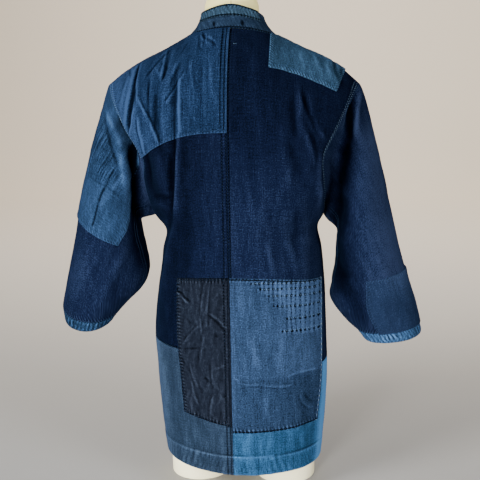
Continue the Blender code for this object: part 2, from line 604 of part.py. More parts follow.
def make_jacket():
    """All cloth pieces, from the surfaces' grids and their shared normals."""
    heights = {side: np.array(BODY_ROWS[side]) for side in (LEFT, RIGHT)}
    backs, fronts, sleeves = {}, {}, {}
    for side in (LEFT, RIGHT):
        rows = heights[side]
        backs[side] = back_surface(side, column_shares(side, rows), rows)
        fronts[side] = front_surface(side, front_shares(side, rows), rows)
        hole = rows[rows >= UNDERARM][::-1]
        sleeves[side] = sleeve_surface(side, np.array(SLEEVE_STATIONS), hole)
    seam, run = [], []
    for side in (LEFT, RIGHT):
        edge = fronts[side][:, 0]
        neck = backs[side][-1, : NECK_COLUMN + 1][::-1]
        line = np.concatenate([edge, neck[1:]])
        stations = np.concatenate([
            (heights[side] - HEM) / (NECK_TOP - HEM), 1 + np.arange(1, NECK_COLUMN + 1) / NECK_COLUMN
        ])
        seam.append(line if side == LEFT else line[-2::-1])
        run.append(stations if side == LEFT else stations[-2::-1])
    seam, run = np.concatenate(seam), np.concatenate(run)
    collar = collar_surface(seam, run, np.array(COLLAR_ROWS))

    grids = []
    for side in (LEFT, RIGHT):
        for shape in (backs[side], fronts[side]):
            middle = np.stack([0 * shape[:, 0, 0], 0 * shape[:, 0, 0], shape[:, 0, 2] - 0.05], axis=1)
            grids.append((shape, False, middle))
        grids.append((sleeves[side], True, sleeves[side].mean(axis=1)))
    inside = np.stack([0 * seam[:, 0], 0 * seam[:, 0], seam[:, 2] - 0.03], axis=1)
    grids.append((collar, False, inside))
    normals = shared_normals(grids)

    for place, side in enumerate((LEFT, RIGHT)):
        name = SIDE_NAMES[side]
        back_n, front_n, sleeve_n = normals[3 * place : 3 * place + 3]
        rows = list(BODY_ROWS[side])
        seam_row = rows.index(PANEL_TOP[side])
        back, front, sleeve = backs[side], fronts[side], sleeves[side]
        low = np.s_[: seam_row + 1]
        cloth("panel_hem_" + name, "hem_" + name, back[low], back_n[low], "top start end")
        high = np.s_[seam_row:]
        cloth("back_" + name, "navy", back[high], back_n[high], "low top start end")
        cloth("front_" + name, "navy", front, front_n, "top start end")
        arm = np.s_[: BAND_START + 1]
        cloth("sleeve_" + name, "navy", sleeve[arm], sleeve_n[arm], "low top", wrap=True)
        band = np.s_[BAND_START:]
        cloth("cuff_" + name, "cuff_blue", sleeve[band], sleeve_n[band], "low", wrap=True)

        start = rows.index(PATCH_LOW[side])
        end_column = CHARCOAL_COLUMN if side == LEFT else BLUE_COLUMN
        lower = np.s_[start : rows.index(PATCH_TOP) + 1, : end_column + 1]
        lower_name = "charcoal" if side == LEFT else "blue"
        lower_colour = "charcoal" if side == LEFT else "patch_blue"
        patch("patch_back_" + lower_name, lower_colour, back[lower], back_n[lower], "start")
        start = rows.index(SHOULDER_PATCH_LOW[side])
        first, last = (0, back.shape[1] - 1) if side == LEFT else SHOULDER_PATCH_COLUMNS
        upper = np.s_[start:, first : last + 1]
        edges = "top start end" if side == LEFT else "top"
        upper_colour = "shoulder_blue" if side == LEFT else "faded_blue"
        patch("patch_shoulder_" + name, upper_colour, back[upper], back_n[upper], edges)
        first_ring, last_ring, first_point, last_point = SLEEVE_PATCH[side]
        around = np.arange(first_point, last_point + 1)
        stretch = sleeve[first_ring : last_ring + 1][:, around]
        stretch_n = sleeve_n[first_ring : last_ring + 1][:, around]
        sleeve_colour = "sleeve_blue" if side == LEFT else "patch_blue"
        edges = "low" if side == LEFT else "top"
        patch("patch_sleeve_" + name, sleeve_colour, stretch, stretch_n, edges)

    cloth("collar_band", "band_blue", collar, normals[-1], "start")
    middle = len(seam) // 2
    nape = np.s_[middle - COLLAR_PATCH_REACH : middle + COLLAR_PATCH_REACH + 1, COLLAR_PATCH_ROW:]
    patch("patch_collar", "collar_light", collar[nape], normals[-1][nape], "")


def patch(name, colour, points, normals, edges):
    """Cloth that lies on a panel, made from the panel's points moved out."""
    cloth(name, colour, points, normals, edges, lift=LIFT, wall=PATCH_WALL)


for old in list(bpy.data.objects):
    bpy.data.objects.remove(old)
jacket = bpy.data.collections.new("patched_boro_jacket")
helpers = bpy.data.collections.new("cutters")
bpy.context.scene.collection.children.link(jacket)
bpy.context.scene.collection.children.link(helpers)
dress_form()
make_jacket()
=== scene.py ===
"""Patched boro jacket on a limbless dress form: its cloth, folds, stitching and wear.

Metres, +Z up. The jacket's back faces -Y, so the wearer's right is +X. Every cloth piece is a
stretch of one of the garment's surfaces (backs, fronts, sleeves, collar band), laid out on its own
fine grid. Its face is that surface moved along its normals by a relief: creases placed one by one,
slack between them, puckers along its seams, and the crush of the cloth itself.
"""

import bpy
import mathutils
import numpy as np
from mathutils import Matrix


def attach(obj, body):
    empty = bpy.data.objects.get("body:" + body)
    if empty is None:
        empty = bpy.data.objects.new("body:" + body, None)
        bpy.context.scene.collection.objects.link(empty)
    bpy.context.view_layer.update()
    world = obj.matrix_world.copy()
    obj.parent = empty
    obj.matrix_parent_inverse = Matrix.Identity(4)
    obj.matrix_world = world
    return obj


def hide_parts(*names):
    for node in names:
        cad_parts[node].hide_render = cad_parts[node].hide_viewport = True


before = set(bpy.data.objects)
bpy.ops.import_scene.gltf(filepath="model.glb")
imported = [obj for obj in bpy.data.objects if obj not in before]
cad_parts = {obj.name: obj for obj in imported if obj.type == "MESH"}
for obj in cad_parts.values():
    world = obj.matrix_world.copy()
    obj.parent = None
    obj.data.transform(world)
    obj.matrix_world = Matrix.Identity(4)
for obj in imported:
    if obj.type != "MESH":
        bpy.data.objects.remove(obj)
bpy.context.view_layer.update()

# ---------------------------------------------------------------- the garment's sizes
WALL, PATCH_WALL = 0.0018, 0.0014
LIFT = 0.0004  # between a panel and what lies on it
SUNK = 0.0006  # how far a panel is pressed in under a patch
PRESS_START, PRESS_FULL = 0.0012, 0.0045  # inside a patch's edge, where that pressing sets in
NECK_TOP, SHOULDER_START, UNDERARM, HEM = 0.847, 0.72, 0.527, 0.047  # heights at the centre back
BACK_WIDTH = 0.245  # along the cloth, from the middle to a side
FRONT_DEPTH = 0.90  # of the back's, at the side seams
NECK_SHARE = 0.38  # of a back's upper edge that is neckline
COLLAR_WIDTH = 0.042
STRIP_START = 1.3333  # where on the collar band its lighter strip starts and ends
STRIP_LOW = 0.52  # the strip's lower edge, as a share of the band's width
NAPE_RUN = 0.14  # length of the band for one unit of its run at the neck
CENTRE_SHIFT = np.array([0.006, 0.0105, 0.0])
SLEEVE_LENGTH, HALF_ROUND = 0.44, 0.27  # of a sleeve, along the cloth
HEM_TURN, FRONT_TURN = 0.037, 0.024  # depths of the turned hems
PATCH_TOP = 0.420
PATCH_SLANT = 0.018  # how much higher the charcoal patch's lower edge is at its side
CELL, PATCH_CELL = 0.0032, 0.0022  # grids of the panels and of the patches
FINE = 0.0007  # grid beside an edge

LEFT, RIGHT = -1, 1
SIDE_NAMES = {LEFT: "left", RIGHT: "right"}
PATCH_LOW = {LEFT: 0.142, RIGHT: 0.131}
PANEL_TOP = {LEFT: 0.285, RIGHT: 0.245}
PANEL_RISE = {LEFT: 0.022, RIGHT: 0.004}  # from a lower panel's middle to its side
SHOULDER_PATCH_LOW = {LEFT: 0.674, RIGHT: 0.785}


def columns(names, *rows, plain):
    """A short table as arrays in metres, one for each named column. Its rows are in millimetres,
    but for the plain columns, which are shares, ratios or places along a seam.
    """
    table = dict(zip(names.split(), np.array(rows, float).T))
    return {name: table[name] / (1.0 if name in plain.split() else 1000.0) for name in table}


# A back, by the height of its middle: how far behind the side seams it hangs, where its side or
# armhole edge lies (lean is what the right one reaches further and the left one less), how full
# its corner is, how late it falls towards the side, and what its right side drops and its left
# side rises by.
BACK = columns(
    "height depth reach side_y side_z lean square droop tip",
    (47, 126, 149, 0, 49, 2, 0, 2, 5),
    (140, 130, 158.5, 0, 143, 2, 0.01, 2, 1),
    (245, 131, 162, 0, 238, 2, 0.02, 2, 0),
    (285, 131, 162.5, 0, 274, 0.5, 0.02, 2, 0),
    (345, 131, 160.5, 0, 329, 1, 0.02, 2, 0),
    (420, 130, 154, 0, 401, 4.5, 0.03, 2.2, 0),
    (465, 129, 147.5, 0, 449, 6.5, 0.04, 2.4, 0),
    (505, 128, 140.5, 0, 492, 6.5, 0.06, 2.6, 0),
    (527, 128, 153, 0, 513, 4, 0.09, 3, 0),
    (575, 127, 159, -36, 550, 2, 0.11, 3, 0),
    (625, 126, 160.5, -64, 589, 1, 0.12, 3, 0),
    (674, 124, 160, -82, 627, 2, 0.11, 2.8, 0),
    (730, 117, 187, -74, 678, -1, 0.07, 2.4, 0),
    (785, 102, 211, -44, 721, -4, 0.04, 2, 0),
    (825, 80, 222.5, -18, 741, -6, 0.02, 1.5, 0),
    (847, 62, 228, 0, 750, -6.5, 0, 1.2, 0),
    plain="square droop",
)
# A front, by the same height: its depth, its inner edge beside the collar band, its corner.
FRONT = columns(
    "height depth edge_x edge_z square",
    (47, 108, 50, 48, 0.02),
    (285, 114, 50, 285, 0.02),
    (420, 114, 50, 418, 0.03),
    (527, 112, 51, 522, 0.06),
    (625, 108, 54, 617, 0.09),
    (674, 103, 57, 665, 0.09),
    (730, 92, 62, 720, 0.06),
    (785, 70, 68, 774, 0.03),
    (825, 36, 74, 815, 0.01),
    (847, 0, 80.6, 835, 0),
    plain="square",
)
SHOULDER = columns(
    "share left right",
    (0, 835, 835),
    (0.3, 811.5, 813),
    (0.55, 794, 797),
    (0.78, 774.5, 777.5),
    (1, 750, 750),
    plain="share",
)
NECK_POINT = {LEFT: 0.0850, RIGHT: 0.0765}
# A sleeve's rings, from the armhole (station 0) to its end (1) and its band's (1.06): top and low
# edge, depth to each side, how far the ring lies forward and tilts, and how its back is pinched.
SLEEVE = {
    LEFT: columns(
        "station top_x top_z low_x low_z depth forward tilt pinch",
        (0, 234.5, 750, 149, 513, 80, 0, 0, 0),
        (0.04, 240, 736, 161, 508, 80, 0, 0, 0.5),
        (0.1, 249.5, 708, 176, 504, 79, 0, 0, 0.36),
        (0.19, 262.5, 665, 188, 499, 77, 1, 0.02, 0.12),
        (0.31, 279, 608, 188.5, 485, 74, 2, 0.05, 0),
        (0.45, 297.5, 545, 185, 463, 71, 4, 0.09, 0),
        (0.6, 315, 472, 179, 434, 69, 6, 0.14, 0),
        (0.74, 330, 411, 174.5, 401, 65, 8, 0.19, 0),
        (0.86, 342, 364, 190, 368, 60, 10, 0.24, 0),
        (0.94, 348.5, 340, 222, 337, 55, 12, 0.27, 0),
        (1, 350.5, 328, 243, 314, 52, 13, 0.3, 0),
        (1.06, 348, 306, 255, 298, 51, 14, 0.3, 0),
        plain="station tilt pinch",
    ),
    RIGHT: columns(
        "station top_x top_z low_x low_z depth forward tilt pinch",
        (0, 221.5, 750, 157, 513, 80, 0, 0, 0),
        (0.04, 228, 736, 165, 502, 80, 0, 0, 0.5),
        (0.1, 238, 705, 175, 493, 79, 0, 0, 0.36),
        (0.19, 250, 657, 181.5, 485, 77, 1, 0, 0.12),
        (0.31, 264, 597, 182, 472, 74, 2, 0.01, 0),
        (0.45, 279.5, 526, 180.5, 451, 71, 3, 0.02, 0),
        (0.6, 295, 456, 178.5, 422, 69, 4, 0.03, 0),
        (0.74, 311.5, 395, 172.5, 385, 66, 5, 0.04, 0),
        (0.86, 325.5, 350, 173, 348, 61, 6, 0.04, 0),
        (0.94, 332.5, 322, 200, 313, 55, 6, 0.04, 0),
        (1, 335.5, 309, 220, 293, 51, 6, 0.04, 0),
        (1.06, 339, 290, 234, 275, 49, 6, 0.04, 0),
        plain="station tilt pinch",
    ),
}
SLEEVE_END, BAND_END = 1.0, 1.06
ARMHOLE_BLEND = 0.24  # the station by which a sleeve's rings have left the armhole's outline
# A sleeve patch: its first and last station, its front edge, and its back edge along the sleeve.
SLEEVE_PATCH = {
    LEFT: (0.0, 0.52, -0.55, ((0.0, 0.36), (0.03, 0.44), (0.08, 0.62), (0.16, 0.74),
                              (0.34, 0.75), (0.52, 0.64))),
    RIGHT: (0.70, 1.0, -0.30, ((0.70, 0.515), (0.80, 0.53), (1.0, 0.60))),
}
# The band leans from its seam this way; run: 0 at the hem, 1 at the neck point, 2 at the nape.
COLLAR = columns(
    "run aside ahead up bow",
    (0, -1, 0.03, 0, 0),
    (0.6, -1, 0.06, 0, 0),
    (0.76, -0.98, 0.1, 0.06, 0),
    (0.85, -0.95, 0.18, 0.14, 0),
    (0.92, -0.84, 0.32, 0.3, 1),
    (1, -0.66, 0.38, 0.55, 3),
    (1.33, -0.47, 0.08, 0.89, 4),
    (1.67, -0.3, 0.12, 0.95, 2),
    (2, 0, 0.17, 0.98, 0),
    plain="run aside ahead up",
)
FORM = columns(
    "height half_width back front square lean",
    (60, 30, 30, 30, 0, 0),
    (64, 85, 58, 56, 0.02, 0),
    (78, 122, 88, 84, 0.03, 0),
    (105, 138, 104, 94, 0.04, 0),
    (160, 143, 108, 96, 0.04, 0),
    (230, 135, 100, 92, 0.04, 0),
    (310, 118, 88, 86, 0.04, 0),
    (390, 110, 82, 84, 0.04, 0),
    (470, 116, 88, 92, 0.05, 0),
    (550, 130, 98, 99, 0.06, 0),
    (620, 141, 104, 96, 0.06, 0),
    (680, 154, 102, 86, 0.05, 0),
    (715, 172, 94, 74, 0.03, 0),
    (735, 180, 84, 62, 0.02, 0),
    (755, 178, 74, 50, 0.01, 0),
    (772, 164, 67, 44, 0, 0),
    (787, 138, 62, 40, 0, 0),
    (800, 108, 57, 39, 0, -1.5),
    (812, 80, 53, 40, 0, -3),
    (826, 60, 49, 42, 0, -4),
    (845, 49.5, 46.5, 44, 0, -5),
    (870, 48.5, 45, 45, 0, -5),
    (890, 47.5, 44.5, 44.5, 0, -5),
    (902, 41, 39, 39, 0, -5),
    (910, 28, 27, 27, 0, -5),
    (914, 10, 10, 10, 0, -5),
    plain="square",
)
STUMP_CENTRE, STUMP_RADIUS, STUMP_TOP = 0.083, 0.056, 0.115

# Edges of patches as shares of a back's width, at some heights.
EDGE_HEIGHTS = (HEM, 0.142, 0.420, 0.700, 0.785, NECK_TOP)
CHARCOAL_EDGE = (0.42, 0.42, 0.466, 0.42, 0.39, 0.38)
BLUE_EDGE = (0.765, 0.765, 0.845, 0.840, 0.835, 0.893)
FADED_START = (0.25, 0.25, 0.27, 0.28, 0.29, 0.255)

# The hand stitching on the lower blue patch: each row's distance from the patch's top edge, where
# the rows start, where they all end, how far apart the columns are and how much the rows slope.
SASHIKO_ROWS = (0.006, 0.0165, 0.029, 0.048, 0.071, 0.094)
SASHIKO_FIRST = (0.036, 0.046, 0.062, 0.076, 0.095, 0.090)
SASHIKO_LAST, SASHIKO_COLUMN = 0.155, 0.0075
SASHIKO_SLOPE, SASHIKO_MIDDLE = 0.05, 0.09
TACKS = (-0.029, 0.021)  # two short dark tacks at the nape, by their distance from the middle

# ---------------------------------------------------------------- creases placed one by one
# A row holds x0, z0, x1, z1, bend, w0, w1, rise and skew. The crease runs between two points
# (distance from the middle, wearer's right positive, and height), bowed by bend, with half widths
# w0 and w1 at its ends. rise: out for a ridge, in for a trough. skew: above 0, its right flank is
# the wider one.
def folds(*rows, rise_unit=1000.0):
    """Creases as an array in metres, from rows in millimetres; skew is a plain number."""
    return np.array(rows) / np.array([1000.0] * 7 + [rise_unit, 1.0])


def strokes(*rows):
    """Strokes of tone: laid out as creases are, but their rise is a tone and stays as it is."""
    return folds(*rows, rise_unit=1.0)


BACK_CREASES = folds(
    # left shoulder and armhole
    (-113, 770, -108, 640, 0, 9, 8, 2, 0.1),
    (-93, 775, -93, 640, 0, 5, 5.5, -1.8, -0.2),
    (-83, 775, -84, 640, 0, 6, 7, 2.2, 0.5),
    (-122, 700, -116, 630, 2, 6, 7, -1.2, 0.2),
    (-172, 785, -180, 668, -2, 4.2, 5, -2.4, 0.1),
    (-184, 775, -193, 715, 0, 5, 5, 2.2, 0),
    (-160, 735, -117, 650, 2, 6, 6, 0.8, -0.3),
    (-84, 795, -101, 752, 1, 3.5, 4, -1.6, 0.2),
    (-111, 812, -150, 767, 2, 2.2, 2.8, -1.4, 0),
    (-111, 812, -116, 760, -2, 2.4, 3, -1.3, 0),
    (-65, 815, -62, 700, 2, 5, 8, 1.2, 0),
    (-47, 800, -46, 700, 0, 5, 7, -0.8, 0),
    (-27, 812, -26, 740, 1, 5, 6, 1, 0),
    # slack under the left shoulder
    (-116, 645, -113, 565, 4, 12, 15, 4.4, 0.1),
    (-100, 640, -103, 560, 0, 4.5, 5, -3, 0),
    (-87, 664, -98, 520, -2, 5, 8, 4.2, 0.6),
    (-98, 520, -142, 350, 3, 8, 12, 3.4, 0.5),
    (-139, 560, -94, 558, -2, 5, 4, -1.2, 0),
    (-142, 545, -100, 540, -3, 9, 8, 1.8, 0),
    (-140, 528, -112, 519, 2, 5, 6, -1.4, 0),
    (-146, 650, -140, 570, 2, 6, 7, -4, 0),
    (-72, 560, -75, 430, 2, 12, 16, -1.6, 0.2),
    # right back
    (119, 752, 127, 690, -1, 5, 6, 2.2, -0.2),
    (127, 690, 149, 605, -3, 6, 6.6, 3, -0.2),
    (149, 605, 157, 545, 0, 6.6, 8, 2.6, 0),
    (127, 742, 160, 664, 2, 5, 6.6, -2.8, 0.3),
    (136, 735, 168, 655, 4, 5, 5, 2.6, 0),
    (109, 735, 117, 660, 0, 6, 7, -2.4, -0.3),
    (104, 660, 132, 570, -3, 9, 10, -2.8, 0),
    (157, 640, 154, 530, 1, 4, 5, 2.8, 0),
    (84, 700, 104, 560, -3, 10, 13, 1.8, 0),
    (60, 640, 62, 490, 2, 9, 12, 1.6, 0),
    (64, 490, 77, 420, 0, 7, 6, 1.8, 0),
    (100, 490, 115, 415, 0, 7, 6, 1.8, 0),
    (37, 600, 58, 455, 3, 9, 10, 1.2, 0),
    (135, 520, 128, 400, 2, 9, 12, 2.6, 0),
    (120, 540, 112, 460, 0, 7, 8, -2, 0),
    (187, 772, 193, 745, 0, 3, 3, -1.4, 0),
    # lower back
    (-142, 300, -128, 130, 4, 12, 15, 1.2, 0),
    (-120, 240, -112, 80, 2, 10, 12, -0.8, 0),
    (146, 330, 150, 180, -3, 11, 14, 1, 0),
    (132, 250, 136, 90, 2, 10, 12, -0.6, 0),
    (30, 200, 34, 70, 2, 14, 18, 0.6, 0),
    (-40, 190, -46, 60, 2, 14, 16, 0.6, 0),
)
FRONT_CREASES = folds(
    (-118, 700, -112, 560, 3, 8, 12, 4, 0.2),
    (-100, 700, -98, 580, 0, 6, 8, -3.4, 0),
    (-140, 640, -120, 520, 4, 8, 10, 3.6, 0),
    (-112, 520, -138, 300, 4, 10, 15, 3.4, 0.3),
    (-90, 450, -100, 200, 3, 12, 15, -2.4, 0),
    (-120, 300, -112, 80, 4, 12, 16, 3, 0),
    (-92, 760, -130, 700, 2, 5, 6, -1.8, 0),
    (-76, 640, -82, 460, 2, 9, 11, 1.6, 0),
    (120, 710, 132, 560, -3, 8, 11, 4.2, -0.2),
    (104, 690, 112, 580, 0, 6, 8, -3.2, 0),
    (142, 640, 146, 530, 2, 6, 8, 2.8, 0),
    (122, 500, 112, 260, -4, 11, 15, 3.2, 0),
    (96, 420, 92, 160, 3, 12, 15, -2.2, 0),
    (128, 280, 120, 80, 3, 11, 15, 2.6, 0),
    (88, 770, 126, 712, -2, 5, 6, -1.6, 0),
    (78, 600, 86, 430, 2, 9, 11, 1.4, 0),
)
# Sleeves, seen from the back and from the front.
SLEEVE_CREASES = {
    (LEFT, "back"): folds(
        (-230, 715, -207, 640, 1, 7, 9, 4.6, 0.3),
        (-208, 650, -200, 540, -2, 9, 10, 4.6, 0.3),
        (-236, 700, -211, 606, 2, 3, 3.4, -1.8, 0),
        (-202, 705, -186, 650, 1, 6, 7, -9, 0),
        (-187, 665, -181, 590, 2, 7, 6.5, -12, 0),
        (-181, 605, -186, 505, 1, 6.5, 6.5, -12, 0),
        (-206, 590, -240, 530, 2, 6, 6, 1.8, 0),
        (-190, 560, -205, 470, 3, 8, 10, 3, 0),
        (-180, 530, -190, 430, 2, 6, 8, -3, 0),
        (-205, 470, -224, 380, 3, 13, 12, 2, 0.2),
        (-206, 425, -239, 338, 2, 9, 10, -3, 0),
        (-245, 480, -262, 380, 3, 15, 16, -1.2, 0.2),
        (-275, 470, -292, 360, 2, 16, 18, 1.2, 0.2),
        (-230, 440, -262, 340, 2, 12, 10, 1, 0.2),
    ),
    (LEFT, "front"): folds(
        (-232, 690, -206, 580, 2, 7, 8, 3.6, 0),
        (-214, 680, -200, 600, 0, 6, 6, -3, 0),
        (-200, 570, -218, 450, 3, 10, 10, 2.8, 0),
        (-222, 560, -250, 430, 2, 8, 9, -2.4, 0),
        (-270, 540, -285, 400, 2, 10, 11, 2, 0),
        (-230, 420, -258, 345, 2, 7, 7, -2.2, 0),
    ),
    (RIGHT, "back"): folds(
        (222, 742, 217, 655, 1, 5, 6.5, 4, 0),
        (212, 735, 203, 650, 0, 5, 7, -8, 0),
        (203, 660, 186, 560, 0, 8, 11, -10, 0),
        (187, 580, 182, 490, 0, 10, 11, -8, 0),
        (233, 720, 236, 620, -2, 8, 10, -2.2, 0),
        (200, 640, 196, 540, 2, 8, 9, 2.6, 0),
        (216, 640, 222, 500, 3, 14, 17, -1.2, 0),
        (244, 620, 256, 470, 4, 16, 18, 1.8, 0.2),
        (200, 510, 212, 390, 3, 11, 10, 2.6, 0),
        (186, 480, 192, 390, 2, 7, 8, -2.4, 0),
        (226, 430, 236, 330, 2, 12, 11, -1.8, 0),
        (262, 420, 274, 320, 2, 14, 13, 1.4, 0.2),
        (285, 440, 298, 320, 1, 9, 9, -1.4, 0),
    ),
    (RIGHT, "front"): folds(
        (222, 720, 212, 600, 2, 7, 8, 3.6, 0),
        (206, 700, 200, 600, 0, 6, 7, -3, 0),
        (198, 570, 206, 440, 3, 10, 11, 2.8, 0),
        (226, 560, 240, 420, 2, 10, 11, -2.4, 0),
        (256, 540, 270, 380, 2, 11, 11, 2, 0),
        (230, 400, 250, 320, 2, 7, 8, -2, 0),
    ),
}
# How much darker (below 0) or paler the sleeves' backs are, in strokes: the dark strokes are painted
# shade in the valley between sleeve and body and under the arm, the broad pale ones make the outer
# sides paler, and topstitching shows pale.
SLEEVE_TONES = {
    LEFT: strokes(
        (-204, 702, -186, 650, 1, 6, 7, -2.2, 0),
        (-187, 662, -181, 595, 2, 7.5, 7, -3.2, 0),
        (-181, 605, -186, 500, 1, 7, 7, -3.2, 0),
        (-170, 620, -166, 530, 1, 6, 6, 1.2, 0),
        (-188, 500, -184, 400, 0, 8, 8, -1, 0),
        (-212, 672, -202, 560, 1, 6, 7, 0.2, 0),
        (-288, 450, -318, 350, 0, 20, 20, 0.6, 0),
    ),
    RIGHT: strokes(
        (212, 730, 202, 650, 0, 5.5, 8.5, -2.4, 0),
        (204, 665, 190, 560, 0, 13, 17, -3.2, 0),
        (190, 580, 187, 470, 0, 18, 20, -3, 0),
        (186, 490, 195, 370, 0, 21, 23, -3.2, 0),
        (196, 400, 236, 310, 0, 16, 14, -1.2, 0),
        (238, 700, 272, 540, 0, 20, 28, 1.3, 0),
        (266, 560, 302, 360, 0, 30, 34, 1.5, 0),
        (190, 738, 200, 712, 0, 2, 2, 1.2, 0),
        (200, 714, 201, 688, 0, 2, 2, 1.2, 0),
        (201, 692, 193, 672, 0, 2, 2, 1.2, 0),
    ),
}
# Sharp creases that stay in one patch.
CHARCOAL_CREASES = folds(
    (-101, 396, -87, 383, 1, 2, 2.2, -2.4, 0.2),
    (-88, 384, -72, 372, 1, 2.2, 2.2, -2.6, 0.2),
    (-40, 352, -9, 322, -2, 2.2, 2.6, -1.8, 0),
    (-38, 356, -6, 328, -2, 1.8, 2, 1.4, 0),
    (-44, 412, -52, 350, 1, 2, 2.2, 1.2, 0.2),
    (-51, 352, -47, 310, 1, 2, 2, -1.1, 0.1),
    (-35, 416, -43, 330, 1, 2, 2, 1.1, -0.2),
    (-47, 320, -56, 262, 1, 2.2, 2.2, 1, 0.2),
    (-90, 284, -58, 290, 1, 1.6, 1.6, -1.2, 0),
    (-58, 330, -89, 291, 2, 1.8, 1.8, 0.8, 0.2),
    (-84, 345, -62, 330, 2, 1.8, 1.8, -0.9, 0),
    (-94, 270, -76, 240, 1, 2, 2, -1.1, 0),
    (-78, 262, -64, 216, 1, 2, 2, 1, 0.2),
    (-6, 300, -34, 318, 2, 1.8, 2.2, -1, 0),
    (-6, 262, -30, 250, 1, 2, 2, 0.8, 0),
    (-34, 262, -30, 214, 3, 2.2, 2.2, 1, 0.2),
    (-52, 238, -36, 224, 1, 2.4, 2.4, -1.2, 0),
    (-30, 206, -40, 160, 3, 2.2, 2.2, 1, 0.2),
    (-74, 226, -60, 176, 3, 2.2, 2.2, 1.1, -0.2),
    (-76, 180, -68, 154, 1, 2.2, 2.2, 1.2, 0),
    (-6, 196, -30, 214, 1, 1.8, 1.8, -0.9, 0),
)
BLUE_CREASES = folds(
    (3, 240, 15, 227, 0, 1.8, 1.8, 1, 0.2),
    (15, 226, 50, 223.5, 1, 1.6, 1.8, 1.1, 0.2),
    (50, 223.5, 107, 216, 2, 1.8, 1.8, 1.1, 0.2),
    (98, 234, 147, 236, -3, 1.8, 2, 1, 0.2),
    (118, 196, 139, 160, 3, 2, 2.2, 0.9, 0.2),
    (126, 196, 143, 170, 2, 1.8, 1.8, -0.9, 0),
    (40, 330, 52, 250, 4, 6, 6, 0.6, 0),
    (90, 320, 86, 240, 3, 6, 6, 0.6, 0),
    (64, 210, 58, 150, 2, 5, 6, 0.6, 0),
)
SLEEVE_PATCH_CREASES = folds(
    (-218, 602, -232, 572, 0, 1.6, 1.8, -1.8, 0),
    (-232, 573, -246, 542, 1, 1.8, 1.8, -2.6, 0),
    (-246, 543, -262, 497, 0, 1.8, 1.8, -2.6, 0),
    (-262, 588, -228, 573, 1, 1.8, 1.8, -1, 0),
    (-229, 573, -207, 552, 1, 1.8, 1.8, -1, 0),
)
SHOULDER_CREASES = folds(
    # under the collar
    (-50, 841, -40, 829, 1, 2, 2.4, -2.6, 0.2),
    (-41, 831, -22, 819, -2, 2, 2.2, -2.2, -0.2),
    (-43, 842, -36, 820, 1, 1.8, 2, 2, 0),
    (-34, 838, -30, 818, 1, 1.8, 2, 1.6, 0),
    (-52, 832, -44, 812, 1, 1.8, 2, 1.6, 0.2),
    (-56, 830, -58, 800, 1, 1.8, 2, 1.2, 0),
    # shoulder
    (-74, 826, -90, 800, 1, 2, 2.4, -1.2, 0),
    (-117, 812, -116, 760, -2, 2.2, 2.4, -2.4, 0),
    (-121, 810, -121, 764, -2, 1.8, 2, 1.6, 0),
    (-129, 793, -104, 778, 1, 2.2, 2.4, -1.1, 0),
    (-140, 785, -118, 765, -1, 2.2, 2.4, 1.1, 0),
    (-196, 779, -180, 764, 1, 1.8, 1.8, -1.6, 0),
    (-190, 782, -176, 770, 1, 1.8, 1.8, 1.4, 0),
    (-170, 790, -165, 740, 1, 1.8, 2, 1.6, 0.2),
    (-165, 744, -160, 722, 1, 1.8, 2, 1.4, 0.2),
    # from the shoulder down to the lower edge
    (-178, 786, -177, 745, 0, 2.4, 2.6, 2.4, -0.2),
    (-177, 748, -184, 690, 1, 2.6, 2.6, 2.2, -0.2),
    (-168, 748, -173, 718, 0, 2.8, 3.4, -3.2, 0),
    (-173, 722, -181, 680, 1, 3.4, 3, -3.2, 0),
    (-167, 716, -172, 690, 1, 2.2, 2.2, 2.4, 0.2),
    (-172, 692, -178, 668, 0, 2.2, 2, 2, 0.2),
    (-160, 732, -141, 702, 1, 2, 2, 2.2, -0.2),
    (-141, 703, -127, 673, 0, 2, 2.2, 2.4, -0.2),
    (-128, 676, -120, 652, 0, 2.2, 2, 2, -0.2),
    (-142, 764, -140, 720, 0, 2.4, 2.6, -2.4, 0),
    (-140, 726, -136, 686, 1, 2.4, 2.2, -1.8, 0),
    (-159, 698, -155, 664, 1, 2.2, 2.2, 2.4, 0.2),
    (-155, 668, -149, 632, 0, 2.2, 2.2, 2, 0.2),
    (-125, 740, -128, 675, 1, 5, 5, -2.6, 0),
    (-74, 775, -87, 753, 0, 1.8, 2, 1.6, 0.2),
    (-86, 756, -106, 722, 1, 2, 2, 1.6, 0.2),
    (-83, 765, -81, 672, 0, 2, 2.2, 2, 0.2),
    (-66, 795, -58, 747, 1, 2, 2.2, 1, 0),
    (-58, 750, -56, 690, 0, 2.2, 2.2, 0.9, 0),
    (-40, 790, -38, 700, 0, 2.4, 2.4, 0.7, 0),
)
FADED_CREASES = folds(
    (174, 792, 188, 752, 1, 2.4, 3, -2.8, 0),
    (188, 778, 196, 758, 1, 2.2, 2.6, -2, 0),
    (163, 792, 173, 756, 1, 3.4, 3.6, 2.2, 0),
    (140, 800, 158, 766, 1, 4, 4.4, 1.4, 0),
    (118, 808, 130, 768, 1, 4, 4, 1.4, 0),
)


# ---------------------------------------------------------------- curves
def through(at, stations, values):
    """A smooth curve through a table's points: cubic pieces that meet with the same slope."""
    slopes = np.gradient(values, stations)
    piece = np.clip(np.searchsorted(stations, at) - 1, 0, len(stations) - 2)
    step = stations[piece + 1] - stations[piece]
    t = np.clip((at - stations[piece]) / step, 0.0, 1.0)
    return (
        (1 + 2 * t) * (1 - t) ** 2 * values[piece]
        + t * (1 - t) ** 2 * step * slopes[piece]
        + t * t * (3 - 2 * t) * values[piece + 1]
        + t * t * (t - 1) * step * slopes[piece + 1]
    )


def read(table, at, key):
    """Every column of a table at the given places along its column key."""
    at = np.asarray(at, float)
    return {name: through(at, table[key], table[name]) for name in table if name != key}


def ramp(x, low, high):
    """0 below low, 1 above high, and a smooth rise between."""
    t = np.clip((x - low) / (high - low), 0.0, 1.0)
    return t * t * (3 - 2 * t)


